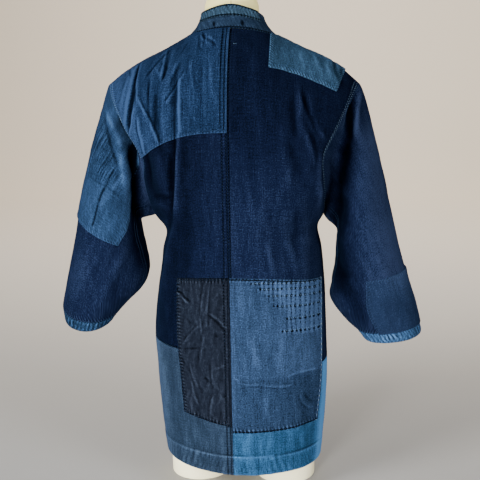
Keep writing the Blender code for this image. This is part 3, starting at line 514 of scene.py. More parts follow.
def bell(off, width):
    """1 at off 0, falling away to both sides."""
    return np.exp(-((off / width) ** 2))


def runs(points, axis):
    """Distance along a grid's lines from their first point."""
    steps = np.linalg.norm(np.diff(points, axis=axis), axis=2)
    start = np.zeros_like(np.take(steps, [0], axis=axis))
    return np.concatenate([start, np.cumsum(steps, axis=axis)], axis=axis)


def run_shares(line):
    """Where a line's points lie, as shares of its length."""
    run = runs(line[None], 1)[0]
    return run / run[-1]


def middle_line(heights):
    """Points on the body's upright middle line, one for each row of a grid."""
    return np.stack([0 * heights, 0 * heights, heights], axis=1)[:, None]


def evenly(curves, shares):
    """Points of each curve (row, point, xyz) at shares of its length (row, column)."""
    length = runs(curves, 1)
    made = np.empty(shares.shape + (3,))
    for row, (curve, run) in enumerate(zip(curves, length)):
        for axis in range(3):
            made[row, :, axis] = np.interp(shares[row] * run[-1], run, curve[:, axis])
    return made


def spread(length, cell, edge=FINE):
    """Shares from 0 to 1 that are a cell apart, drawing together to edge at both ends."""
    growth = 1.6
    near = [edge, edge]
    while near[-1] * growth < cell:
        near.append(near[-1] * growth)
    middle = max(int(np.ceil((length - 2 * sum(near)) / cell)), 1)
    steps = np.concatenate([near, np.full(middle, (length - 2 * sum(near)) / middle), near[::-1]])
    line = np.concatenate([[0], np.cumsum(steps)])
    return line / line[-1]


# ---------------------------------------------------------------- the garment's surfaces
def corner(angle, square):
    """How far a section stands out from a plain ellipse, fullest half way round its corner."""
    return 1 + square * np.sin(2 * angle) ** 2


CURVE_POINTS, RING_POINTS = 181, 241


def body_row(height, side, front):
    """Dense curves across one half of the body, from its middle to the side or armhole: quarter
    ellipses with fuller corners, which fall away towards the side.
    """
    end = read(BACK, height, "height")
    reach = end["reach"] + side * end["lean"]
    face = read(FRONT, height, "height") if front else end
    side_y = -FRONT_DEPTH * end["side_y"] if front else end["side_y"]
    middle_y = face["depth"] if front else -end["depth"]
    middle_z = face["edge_z"] if front else height
    start = np.arcsin(np.clip(face["edge_x"] / reach, 0, 1)) if front else 0 * reach
    angle = start[:, None] + (np.pi / 2 - start[:, None]) * np.linspace(0, 1, CURVE_POINTS)
    out = corner(angle, face["square"][:, None])
    x = reach[:, None] * np.sin(angle) * out
    y = side_y[:, None] + (middle_y - side_y)[:, None] * np.cos(angle) * out
    fall = np.clip(x / reach[:, None], 0, 1) ** end["droop"][:, None]
    if front:
        first = fall[:, :1]
        fall = (fall - first) / (1 - first)
    z = middle_z[:, None] + (end["side_z"] - middle_z)[:, None] * fall
    z -= side * (end["tip"] / reach)[:, None] * x
    return np.stack([side * x, y, z], axis=2)


def shoulder_line(side, share):
    """The shoulder seam, from the neck point (share 0) to the shoulder tip (share 1)."""
    tip = BACK["reach"][-1] + side * BACK["lean"][-1]
    x = NECK_POINT[side] + (tip - NECK_POINT[side]) * share
    z = through(share, SHOULDER["share"], SHOULDER[SIDE_NAMES[side]])
    return np.stack([side * x, 0 * x, z], axis=-1)


def top_edge(side, share):
    """A back's upper edge: a quarter ellipse for the neckline, then the shoulder line."""
    angle = np.pi / 2 * np.clip(share / NECK_SHARE, 0, 1)
    nape = NECK_TOP + 0.002
    neck_z = nape - (nape - SHOULDER["left"][0]) * np.sin(angle) ** 2
    neck = np.stack(
        [side * NECK_POINT[side] * np.sin(angle), -BACK["depth"][-1] * np.cos(angle), neck_z], axis=-1
    )
    shoulder = shoulder_line(side, np.clip((share - NECK_SHARE) / (1 - NECK_SHARE), 0, 1))
    return np.where((share < NECK_SHARE)[..., None], neck, shoulder)


def body_surface(side, share, height, front):
    """Points of a back or a front; rows above the yoke height bend up to the shoulder line."""
    made = evenly(body_row(height, side, front), share)
    bend = ((height - SHOULDER_START) / (NECK_TOP - SHOULDER_START)) ** 2
    high = np.flatnonzero(height > SHOULDER_START)
    if len(high):
        top = np.repeat(body_row(np.full(1, NECK_TOP), side, front), len(high), axis=0)
        edge = shoulder_line(side, share[high]) if front else top_edge(side, share[high])
        made[high] += (edge - evenly(top, share[high])) * bend[high, None, None]
    return made


def armhole(side, height, front):
    """The body's edge at the armhole, by centre-back height."""
    end = read(BACK, height, "height")
    y = end["side_y"] * (-FRONT_DEPTH if front else 1)
    return np.stack([side * (end["reach"] + side * end["lean"]), y, end["side_z"]], axis=-1)


def half_rings(side, stations, front):
    """The back or front half of a sleeve's rings: half ellipses from their top to their low edge."""
    ring = read(SLEEVE[side], stations, "station")
    angle = np.linspace(0, np.pi, RING_POINTS)
    along = (1 - np.cos(angle)) / 2
    x = side * (ring["top_x"][:, None] + (ring["low_x"] - ring["top_x"])[:, None] * along)
    y = ring["depth"][:, None] * np.sin(angle) * (1 if front else -1)
    z = ring["top_z"][:, None] + (ring["low_z"] - ring["top_z"])[:, None] * along
    return np.stack([x, y, z], axis=2)


def sleeve_surface(side, stations, turn):
    """Rings of a sleeve, drawn to the armhole's outline at its start, pinched and tilted by the
    table. turn: 0 at the top, to 1 down its back, to -1 down its front.
    """
    ring = read(SLEEVE[side], stations, "station")
    made = np.empty((len(stations), len(turn), 3))
    for front in (False, True):
        chosen = np.flatnonzero(turn < 0) if front else np.flatnonzero(turn >= 0)
        if not len(chosen):
            continue
        share = np.tile(np.abs(turn[chosen]), (len(stations), 1))
        points = evenly(half_rings(side, stations, front), share)
        start = evenly(half_rings(side, np.zeros(1), front), share[:1])
        hole_line = armhole(side, np.linspace(NECK_TOP, UNDERARM, 161), front)
        hole = evenly(hole_line[None], share[:1])
        points += (hole - start) * (1 - ramp(stations, 0.0, ARMHOLE_BLEND))[:, None, None]
        points[..., 1] *= 1 - ring["pinch"][:, None] * ramp(share, 0.10, 0.42)
        points[..., 2] += points[..., 1] * ring["tilt"][:, None]
        points[..., 1] += ring["forward"][:, None]
        made[:, chosen] = points
    return made


def collar_seam(count):
    """The line the band is sewn to, from the left hem round the neck to the right hem."""
    lines = []
    for side in (LEFT, RIGHT):
        height = np.linspace(HEM, NECK_TOP, 400)
        edge = body_surface(side, np.zeros((400, 1)), height, True)[:, 0]
        share = np.linspace(NECK_SHARE, 0, 80)
        line = np.concatenate([edge, top_edge(side, share)[1:]])
        run = np.concatenate([(height - HEM) / (NECK_TOP - HEM), 2 - share[1:] / NECK_SHARE])
        lines.append(np.concatenate([line, run[:, None]], axis=1))
    whole = np.concatenate([lines[0], lines[1][-2::-1]])
    length = runs(whole[None, :, :3], 1)[0]
    at = spread(length[-1], count) * length[-1]
    return np.stack([np.interp(at, length, whole[:, axis]) for axis in range(4)], axis=1)


def collar_surface(seam, across):
    """The band: from its seam line, a width in the direction of the table, drawn in a little."""
    lean = read(COLLAR, np.clip(seam[:, 3], 0, 2), "run")
    sign = np.tanh(seam[:, 0] / 0.004)
    way = np.stack([lean["aside"] * sign, lean["ahead"], lean["up"]], axis=1)
    way /= np.linalg.norm(way, axis=1)[:, None]
    made = seam[:, None, :3] + way[:, None] * COLLAR_WIDTH * across[:, None]
    made[..., 0] -= sign[:, None] * lean["bow"][:, None] * np.sin(np.pi * across)
    return made


# ---------------------------------------------------------------- relief
HILL_REPEAT = 61


def hills(u, v, seed):
    """Smooth random hills about one unit across, between -1 and 1: blended random slopes."""
    angle = np.random.default_rng(seed).random((HILL_REPEAT, HILL_REPEAT)) * 2 * np.pi
    i, j = np.floor(u).astype(int), np.floor(v).astype(int)
    f, g = u - i, v - j
    smooth_f, smooth_g = f**3 * (f * (f * 6 - 15) + 10), g**3 * (g * (g * 6 - 15) + 10)

    def slope(di, dj):
        at = angle[(i + di) % HILL_REPEAT, (j + dj) % HILL_REPEAT]
        return np.cos(at) * (f - di) + np.sin(at) * (g - dj)

    near = slope(0, 0) + (slope(1, 0) - slope(0, 0)) * smooth_f
    far = slope(0, 1) + (slope(1, 1) - slope(0, 1)) * smooth_f
    return 1.6 * (near + (far - near) * smooth_g)


def creases(x, z, table, lip=0.0):
    """Sum of rounded folds: each falls off as a bell across its bowed line and fades at its ends.

    lip: how deep a valley runs along a skewed fold's steep flank, as a share of its rise.
    """
    flank, waver = 0.002, 0.030  # how softly the two flanks meet; length of the fold's unevenness
    total = 0 * x
    for x0, z0, x1, z1, bend, w0, w1, rise, skew in table:
        run = np.hypot(x1 - x0, z1 - z0)
        ahead = ((x - x0) * (x1 - x0) + (z - z0) * (z1 - z0)) / run
        t = np.clip(ahead / run, 0, 1)
        off = ((x - x0) * (z0 - z1) + (z - z0) * (x1 - x0)) / run + 4 * bend * t * (1 - t)
        width = (w0 + (w1 - w0) * t) * (1 + skew * np.tanh(off / flank))
        fade = min(0.35 * run, 4 * max(w0, w1))
        ends = ramp(ahead, -0.4 * fade, fade) * (1 - ramp(ahead, run - fade, run + 0.4 * fade))
        wander = 1 + 0.35 * hills(ahead / waver, 0 * ahead + rise * 1e4, 11)
        section = bell(off, width)
        if lip and skew:
            section -= lip * bell(off / width + 1.9 * np.sign(skew), 1)
        total += rise * wander * ends * section
    return total


def slack(x, z, seed):
    """Long low waves of the hanging cloth, mostly upright, with smaller ones between."""
    return (
        0.0011 * hills(x / 0.034, z / 0.120, seed)
        + 0.0006 * hills(x / 0.015 + 0.3 * z / 0.05, z / 0.055, seed + 1)
        + 0.00022 * hills(x / 0.007, z / 0.022, seed + 2)
    )


def pinches(run, wave, seed, drift=0.3):
    """Count of stitches along a seam: one for each wave of its run, drifting unevenly."""
    return run / wave + drift * hills(run / (5 * wave), 0 * run + 0.37 * seed, seed)


def roped(run, inset, wave, slant, seed):
    """Slanting rolls of a turned edge that shrank: rounded hills with narrow valleys between."""
    bent = run + slant * inset + 0.002 * hills(run / 0.012, inset / 0.009, seed + 3)
    along = pinches(bent, wave, seed, 0.9)
    size = 0.60 + 0.9 * hills(run / (3.1 * wave), inset / 0.014, seed + 5)
    return (np.abs(np.sin(np.pi * along)) - 0.55) * size


def crush(u, v, wave, seed):
    """Crushed cloth: sharp random ridges between shallow hollows, in three sizes."""
    bend_u = u + 0.35 * wave * hills(u / wave, v / wave, seed + 7)
    bend_v = v + 0.35 * wave * hills(v / wave, u / wave, seed + 8)
    return (
        0.55 * (0.3 - np.abs(hills(bend_u / wave, bend_v / (1.8 * wave), seed)))
        + 0.30 * (0.3 - np.abs(hills(bend_u / (0.45 * wave), bend_v / (0.8 * wave), seed + 1)))
        + 0.15 * hills(u / (0.22 * wave), v / (0.3 * wave), seed + 2)
    )


def softened(values, times, wrap=False):
    """Each value of a grid replaced by the mean of itself and its neighbours, several times."""
    made = values
    for _ in range(times):
        pad = np.pad(made, ((1, 1), (0, 0)), mode="edge")
        made = (pad[:-2] + made * 2 + pad[2:]) / 4
        pad = np.pad(made, ((0, 0), (1, 1)), mode="wrap" if wrap else "edge")
        made = (pad[:, :-2] + made * 2 + pad[:, 2:]) / 4
    return made


# ---------------------------------------------------------------- cloth pieces
OUT_OF_REACH = 99.0  # millimetres from a seam or a row of stitches
EDGE_ROUND = 0.0013  # radius of a patch's turned edge
DARKEST, PALEST = -3.2, 2.2  # limits of wear and of painted light and shade
seams = []  # every row of stitches: piece, edge, inset, spacing, seed, thread, first, last, slant
THREAD_TONE = {"dark": -1.0, "blue": 0.2, "pale": 1.1, "white": 1.5}


class Cloth:
    """A stretch of a surface on its own grid: points, normals, runs, edge insets and a relief."""

    def __init__(self, name, points, outwards, rows, cols, wrap=False):
        self.name, self.points, self.rows, self.cols, self.wrap = name, points, rows, cols, wrap
        looped = np.concatenate([points[:, -1:], points, points[:, :1]], axis=1) if wrap else points
        across = np.gradient(looped, axis=1)[:, 1:-1] if wrap else np.gradient(points, axis=1)
        normal = np.cross(across, np.gradient(points, axis=0))
        normal /= np.linalg.norm(normal, axis=2, keepdims=True)
        middle = points.mean(axis=1, keepdims=True) if outwards is None else outwards
        self.flipped = np.sum(normal * (points - middle)) < 0
        self.normal = -normal if self.flipped else normal
        closed = np.concatenate([points, points[:, :1]], axis=1) if wrap else points
        self.u_all, self.v_all = runs(closed, 1), runs(closed, 0)
        self.u, self.v = self.u_all[:, : points.shape[1]], self.v_all[:, : points.shape[1]]
        self.start, self.end = self.u, self.u_all[:, -1:] - self.u
        self.low, self.top = self.v, self.v[-1:] - self.v
        self.x, self.z = points[..., 0], points[..., 2]
        self.far = 1 + 0 * self.x  # an inset that is out of every seam's reach
        self.shared = 0 * self.x  # relief that this piece shares with what lies over or under it
        self.own = 0 * self.x  # relief of its own
        self.wear_and_shading = 0 * self.x  # wear and painted light and shade: paler above 0, darker below
        self.sewing = np.zeros(points.shape)  # inset (mm), count of stitches, pucker
        self.sewing[..., 0] = OUT_OF_REACH
        self.thread_rows = np.zeros(points.shape) - OUT_OF_REACH  # insets of two rows (mm), tone
        self.quilting = np.zeros(points.shape)  # distance to a row (mm), count of columns, strength
        self.lift, self.wall, self.finished = 0.0, WALL, None

    def inset(self, edges):
        """Distance to the nearest of the named edges."""
        return np.minimum.reduce([getattr(self, edge) for edge in edges.split()])

    def seam_valley(self, edges, depth=0.0008, reach=0.0028):
        """The face turns in at a seam: by its full depth there, and less and less up to reach."""
        for edge in edges.split():
            inset = getattr(self, edge)
            self.own -= depth * (1 - np.clip(inset / reach, 0, 1)) ** 2

    def along(self, edge):
        """Distance along an edge."""
        return self.v if edge in ("start", "end") else self.u

    def sewn(self, edges, insets, wave, pucker, seed, thread, first=0.0, last=1.0, reach=0.0035,
             slant=0.5):
        """Rows of stitches beside edges: the finish puckers and sinks the cloth there, paints a shadow in the
        pit at each stitch and a highlight on the puckers between, and tints the rows of thread, from the
        inset, the count of stitches and the strength of the pucker that are noted here.
        """
        for place, edge in enumerate(edges.split()):
            run, inset = self.along(edge), getattr(self, edge)
            share = run / np.take(run, [-1], axis=0 if edge in ("start", "end") else 1)
            part = ramp(share, first - 0.012, first) * (1 - ramp(share, last, last + 0.012))
            uneven = 0.85 + 0.45 * hills(run / (6 * wave), 0 * run, seed + 5)
            near = part * uneven * np.exp(-np.clip(inset - insets[-1] - 0.001, 0, 1) / reach)
            bumps = hills((run + inset) / (2.2 * wave), inset / 0.02, seed + 9)
            self.own += 0.0004 * pucker * near * bumps
            count = pinches(run + slant * inset, wave, seed + 20 * place)
            here = (part > 0) & (1000 * inset < self.sewing[..., 0])
            self.sewing[here] = np.stack([1000 * inset, count, pucker * near], axis=-1)[here]
            self.thread_rows[here] = (1000 * insets[0], 1000 * insets[-1], THREAD_TONE[thread])
            for row in insets:
                self.stitched(edge, row, wave, seed + 20 * place, thread, first, last, slant)

    def stitched(self, edge, inset, wave, seed, thread, first=0.0, last=1.0, slant=0.5):
        """Notes a row of stitches along part of an edge. Its thread is made once all pieces are."""
        seams.append((self, edge, inset, wave, seed, thread, first, last, slant))

    def edge_toned(self, edges, tone, reach):
        """Along edges, falling off inwards: paler where they are rubbed for a tone above 0, darker as a
        painted shadow line for a tone below 0.
        """
        self.wear_and_shading += tone * bell(self.inset(edges), reach)

    def rolled(self, rope, rise, tone):
        """A roped edge: how high its rolls stand, and how much paler they are than its valleys."""
        self.own += rise * rope
        self.wear_and_shading += tone * rope

    def crumpled(self, rise, wave, seed, raised, low, high=0.003, stretch=1.0):
        """Adds crushed cloth, raised a little and kept between two heights."""
        crumple = rise * crush(self.u, self.v * stretch, wave, seed) + raised
        self.own += np.clip(crumple, low, high)

    def pressed(self, table, lip=0.7):
        """Sharp creases of this piece alone, paler on their ridges, partly as wear and partly as painted
        highlight, and darker in their grooves as painted shade.
        """
        sharp = creases(self.x, self.z, table, lip)
        self.own += np.clip(0.5 * sharp, -0.0011, 0.003)
        self.wear_and_shading += np.clip(sharp / 0.0030, -1.2, 0.7)

    def pressed_in(self, under):
        """Flattens the piece and presses it in where a patch lies on it, which is where under is 1."""
        self.own = self.own * (1 - under) - SUNK * under

    def outer(self):
        """Points of the face, moved out along the normals by all the relief."""
        return self.points + self.normal * (self.shared + self.lift + self.face() + self.own)[..., None]

    def face(self):
        """How far a patch's face stands above its underside: full, but rounded at its edges."""
        if not self.lift:
            return 0.0
        near = np.clip(self.inset(self.open_edges) / EDGE_ROUND, 0, 1)
        return self.wall * (0.2 + 0.8 * np.sqrt(1 - (1 - near) ** 2))

    def at(self, down, across):
        """Points and normals of the finished face at shares of its rows and columns."""
        if self.finished is None:
            self.finished = self.outer()
        row = np.interp(down, self.rows, np.arange(len(self.rows)))
        col = np.interp(across, self.cols, np.arange(len(self.cols)))
        return blended(self.finished, row, col), blended(self.normal, row, col)


def laid(cloth, open_edges):
    """Marks a piece as lying on another, rounded along the named edges."""
    cloth.lift, cloth.wall, cloth.open_edges = LIFT, PATCH_WALL, open_edges
    return cloth


def edge_share(height, edge):
    """Where a patch's edge lies at a height: a table of shares, or one share for all heights."""
    return np.interp(height, EDGE_HEIGHTS, edge) if isinstance(edge, tuple) else edge + 0 * height


BASE_ROWS, BASE_COLUMNS = 401, 241
BASE_SHARES = np.tile(np.linspace(0, 1, BASE_COLUMNS), (BASE_ROWS, 1))
BASES = {
    (side, front): body_surface(side, BASE_SHARES, np.linspace(HEM, NECK_TOP, BASE_ROWS), front)
    for side in (LEFT, RIGHT) for front in (False, True)
}


def blended(grid, row, col):
    """Values of a grid between its points, at fractional rows and columns."""
    i = np.clip(row.astype(int), 0, grid.shape[0] - 2)
    j = np.clip(col.astype(int), 0, grid.shape[1] - 2)
    f, g = (row - i)[..., None], (col - j)[..., None]
    low = grid[i, j] * (1 - g) + grid[i, j + 1] * g
    high = grid[i + 1, j] * (1 - g) + grid[i + 1, j + 1] * g
    return low * (1 - f) + high * f


def body_piece(name, side, low, top, start=0.0, end=1.0, cell=CELL, low_end=0.0, top_end=0.0,
               front=False):
    """A stretch of a back or front between two heights and two shares of its width.

    low_end, top_end: how much higher the far ends of the lower and upper edges are.
    """
    rows = spread((top - low) * (1.15 if top > SHOULDER_START else 1.0), cell)
    height = low + (top - low) * rows
    first, last = edge_share(height, start), edge_share(height, end)
    cols = spread(BACK_WIDTH * (0.8 if front else 1.0) * np.mean(last - first), cell)
    share = first[:, None] + (last - first)[:, None] * cols
    height = height[:, None] + cols * (low_end * (1 - rows[:, None]) + top_end * rows[:, None])
    base_row = (height - HEM) / (NECK_TOP - HEM) * (BASE_ROWS - 1)
    points = blended(BASES[side, front], base_row, share * (BASE_COLUMNS - 1))
    made = Cloth(name, points, middle_line(points[:, 0, 2] - 0.05), rows, cols)
    made.share, made.height = share, height
    hold = ramp(1 - share, 0.0, 0.07) * ramp(NECK_TOP - made.height, 0.0, 0.012)
    table = FRONT_CREASES if front else BACK_CREASES
    wave = slack(made.x, made.z, 31 if front else 71)
    made.shared = (1.2 * creases(made.x, made.z, table, 0.35) + wave) * hold
    if front:
        made.shared *= ramp(share, 0.0, 0.06)
    return made


def body_patch(name, side, low, top, start, end, open_edges, low_end=0.0):
    """A patch on a back, on a finer grid, rounded along its open edges."""
    return laid(body_piece(name, side, low, top, start, end, PATCH_CELL, low_end), open_edges)


def sunk_under(cloth, low, top, start, end, slant=0.0):
    """A panel is pressed in a little where a patch lies on it, from just inside the patch's edge.
    The patch has no edge of its own on a side where start or end is None, or top is the neck.
    """
    low = low + slant * cloth.share / CHARCOAL_EDGE[0]
    insets = [cloth.height - low, top - cloth.height if top < NECK_TOP else cloth.far]
    if start is not None:
        insets.append((cloth.share - edge_share(cloth.height[:, :1], start)) * BACK_WIDTH)
    if end is not None:
        insets.append((edge_share(cloth.height[:, :1], end) - cloth.share) * BACK_WIDTH)
    cloth.pressed_in(ramp(np.minimum.reduce(insets), PRESS_START, PRESS_FULL))


def grid_faces(index):
    """Faces of four corners between the rows and columns of a grid of point numbers."""
    corners = [index[:-1, :-1], index[:-1, 1:], index[1:, 1:], index[1:, :-1]]
    return np.stack(corners, axis=-1).reshape(-1, 4)


def noted(mesh, name, values):
    """Keeps one or three numbers on each point of a mesh, for its finish to read."""
    kind, key = ("FLOAT", "value") if values.ndim == 1 else ("FLOAT_VECTOR", "vector")
    held = mesh.attributes.new(name, kind, "POINT")
    held.data.foreach_set(key, values.astype(np.float32).ravel())


def shell(cloth, finish, slot):
    """A closed thin shell: the face, its inner side a wall further in, and quads round the rims.
    What stands proud of the cloth round it is paler, and so are the tops of its folds, partly as wear
    and partly as painted highlight; what lies below and the troughs of its folds are darker, as painted
    shade.
    """
    rows, cols = cloth.points.shape[:2]
    outer = cloth.outer()
    if cloth.lift:
        inner = cloth.points + cloth.normal * (cloth.shared + 0.6 * cloth.lift)[..., None]
    else:
        inner = cloth.points + cloth.normal * (cloth.shared - cloth.wall)[..., None]
    index = np.arange(rows * cols).reshape(rows, cols)
    around = np.concatenate([index, index[:, :1]], axis=1) if cloth.wrap else index
    spots = np.arange(around.size).reshape(around.shape)
    quads, uv_quads = grid_faces(around), grid_faces(spots)
    rims = [(around[0], spots[0]), (around[-1][::-1], spots[-1][::-1])]
    if not cloth.wrap:
        rims += [(around[:, -1], spots[:, -1]), (around[::-1, 0], spots[::-1, 0])]
    faces, uv_faces = [quads, quads[:, ::-1] + index.size], [uv_quads, uv_quads[:, ::-1]]
    for rim, spot in rims:
        low, high = rim[:-1], rim[1:]
        faces.append(np.stack([high, low, low + index.size, high + index.size], axis=1))
        uv_faces.append(np.stack([spot[1:], spot[:-1], spot[:-1], spot[1:]], axis=1))
    faces, uv_faces = np.concatenate(faces), np.concatenate(uv_faces)
    if cloth.flipped:
        faces, uv_faces = faces[:, ::-1], uv_faces[:, ::-1]
    points = np.concatenate([outer.reshape(-1, 3), inner.reshape(-1, 3)])
    made = piece(cloth.name, points, faces, finish, slot)
    uv = np.stack([cloth.u_all, cloth.v_all], axis=-1).reshape(-1, 2)[uv_faces.ravel()]
    made.data.uv_layers.new(name="cloth").data.foreach_set("uv", uv.astype(np.float32).ravel())
    # painted highlight on ridges and painted shade in valleys, taken from the relief, added to the wear
    relief = cloth.own + cloth.shared
    proud = (relief - softened(relief, 8, cloth.wrap)) / 0.0012
    raised = 0.2 * np.clip(cloth.shared / 0.004, -2, 1)
    wear_and_shading = np.clip(cloth.wear_and_shading + proud + raised, DARKEST, PALEST).ravel()
    noted(made.data, "wear_and_shading", np.concatenate([wear_and_shading, 0 * wear_and_shading]))
    for name, inner_side in (("sewing", 0.0), ("thread_rows", -OUT_OF_REACH), ("quilting", 0.0)):
        face = getattr(cloth, name).reshape(-1, 3)
        noted(made.data, name, np.concatenate([face, 0 * face + inner_side]))
    return made


def piece(name, points, faces, finish, slot):
    """An object from points and faces of three or four corners, riding on the one body."""
    mesh = bpy.data.meshes.new(name)
    mesh.vertices.add(len(points))
    mesh.vertices.foreach_set("co", (points + CENTRE_SHIFT).astype(np.float32).ravel())
    mesh.loops.add(faces.size)
    mesh.loops.foreach_set("vertex_index", faces.astype(np.int32).ravel())
    mesh.polygons.add(len(faces))
    mesh.polygons.foreach_set("loop_start", np.arange(0, faces.size, faces.shape[1], dtype=np.int32))
    mesh.update(calc_edges=True)
    mesh.shade_smooth()
    mesh.materials.append(finish)
    made = bpy.data.objects.new(name, mesh)
    bpy.context.scene.collection.objects.link(made)
    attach(made, "root")
    return made


# ---------------------------------------------------------------- stitches
def stitches(name, rows, length, radius, finish, slot, seed):
    """One mesh of many stitches. Each row is (centres, directions, normals), and a stitch is a
    three-sided spindle: thin, full, thin again, lying on the cloth and dipping in at both ends.
    """
    centre, ahead, up = (np.concatenate([row[part] for row in rows]) for part in range(3))
    rng = np.random.default_rng(seed)
    half = 0.5 * length * rng.uniform(0.80, 1.12, len(centre))
    ahead = ahead + 0.10 * rng.normal(size=ahead.shape)
    ahead /= np.linalg.norm(ahead, axis=1, keepdims=True)
    beside = np.cross(up, ahead)
    beside /= np.linalg.norm(beside, axis=1, keepdims=True)
    up = np.cross(ahead, beside)
    ring_at, ring_size = np.array([-1, 0, 1]), np.array([0.5, 1, 0.5])
    ring_lift = np.array([-0.2, 0.8, -0.2])
    angle = np.radians([90, 210, 330])
    rise = radius * (ring_lift[:, None] + ring_size[:, None] * np.sin(angle))
    points = (
        centre[:, None, None]
        + ahead[:, None, None] * half[:, None, None, None] * ring_at[:, None, None]
        + up[:, None, None] * rise[..., None]
        + beside[:, None, None] * radius * (ring_size[:, None] * np.cos(angle))[..., None]
    )
    pattern = [(0, 2, 1), (6, 7, 8)]
    for ring in (0, 3):
        for k in range(3):
            a, b = ring + k, ring + (k + 1) % 3
            pattern += [(a, b, b + 3), (a, b + 3, a + 3)]
    faces = (np.array(pattern)[None] + 9 * np.arange(len(centre))[:, None, None]).reshape(-1, 3)
    points = points.reshape(-1, 3)
    if np.linalg.det(points[faces[:14]] - points[:9].mean(axis=0)).sum() < 0:
        faces = faces[:, ::-1]
    return piece(name, points, faces, finish, slot)


SEAM_POINTS = 900


def seam_row(cloth, edge, inset, wave, seed, first, last, slant):
    """A row of stitches beside an edge, one in each pit that the sewing made."""
    t = np.linspace(first, last, SEAM_POINTS)
    width = np.interp(t, cloth.rows, cloth.u_all[:, -1])
    height = np.interp(t, cloth.cols, cloth.v[-1])
    down, across, run = {
        "start": (t, inset / width, np.interp(t, cloth.rows, cloth.v[:, 0])),
        "end": (t, 1 - inset / width, np.interp(t, cloth.rows, cloth.v[:, -1])),
        "low": (inset / height, t, np.interp(t, cloth.cols, cloth.u[0])),
        "top": (1 - inset / height, t, np.interp(t, cloth.cols, cloth.u[-1])),
    }[edge]
    count = pinches(run + slant * inset, wave, seed)
    at = np.interp(np.arange(np.ceil(count[0]), count[-1]), count, np.arange(SEAM_POINTS))
    points, normals = cloth.at(down, across)
    return threaded(points, normals, at)


def threaded(points, normals, at):
    """Centres, directions and normals of stitches at fractional places along a line of points."""
    spots = np.arange(len(points))

    def place(where, values):
        return np.stack([np.interp(where, spots, values[:, axis]) for axis in range(3)], axis=1)

    ahead = place(at + 1.5, points) - place(at - 1.5, points)
    ahead /= np.maximum(np.linalg.norm(ahead, axis=1, keepdims=True), 1e-9)
    return place(at, points), ahead, place(at, normals)


def real_row(cloth, x0, z0, x1, z1, spacing):
    """Running stitches between two real places of a piece that lies nearly flat."""
    t = np.linspace(0, 1, 60)
    x, z = x0 + (x1 - x0) * t, z0 + (z1 - z0) * t
    away = (cloth.x[None] - x[:, None, None]) ** 2 + (cloth.z[None] - z[:, None, None]) ** 2
    row, col = np.unravel_index(away.reshape(len(t), -1).argmin(axis=1), cloth.x.shape)
    down, across = (
        np.polyval(np.polyfit(t, line, 3), t) for line in (cloth.rows[row], cloth.cols[col])
    )
    points, normals = cloth.at(down, across)
    run = runs(points[None], 1)[0]
    count = max(int(run[-1] / spacing), 1)
    at = np.interp((np.arange(count) + 0.5) * run[-1] / count, run, np.arange(len(run)))
    return threaded(points, normals, at)


# ---------------------------------------------------------------- finishes
class Value:
    """A number that varies over a surface. Arithmetic on it adds Math nodes."""

    def __init__(self, finish, socket):
        self.finish, self.socket = finish, socket

    def math(self, operation, first, second=0.0, clamp=False):
        """One Math node on two numbers, kept between 0 and 1 if clamped."""
        made = self.finish.node(
            "ShaderNodeMath", {"operation": operation, "use_clamp": clamp}, {0: first, 1: second}
        )
        return Value(self.finish, made.outputs[0])

    def __add__(self, other):
        return self.math("ADD", self, other)

    def __sub__(self, other):
        return self.math("SUBTRACT", self, other)

    def __rsub__(self, other):
        return self.math("SUBTRACT", other, self)

    def __mul__(self, other):
        return self.math("MULTIPLY", self, other)

    def __pow__(self, other):
        return self.math("POWER", self, other)

    __radd__, __rmul__ = __add__, __mul__

    def sine(self):
        """Its sine, as an angle in radians."""
        return self.math("SINE", self)

    def size(self):
        """The number without its sign."""
        return self.math("ABSOLUTE", self)

    def peaks(self):
        """1 at every whole number and 0 half way between."""
        return (self * (2 * np.pi) + np.pi / 2).sine() * 0.5 + 0.5

    def within(self):
        """Kept between 0 and 1."""
        return self.math("ADD", self, 0.0, clamp=True)

    def rise(self, low, high):
        """0 below low, 1 above high."""
        return ((self - low) * (1 / (high - low))).within()


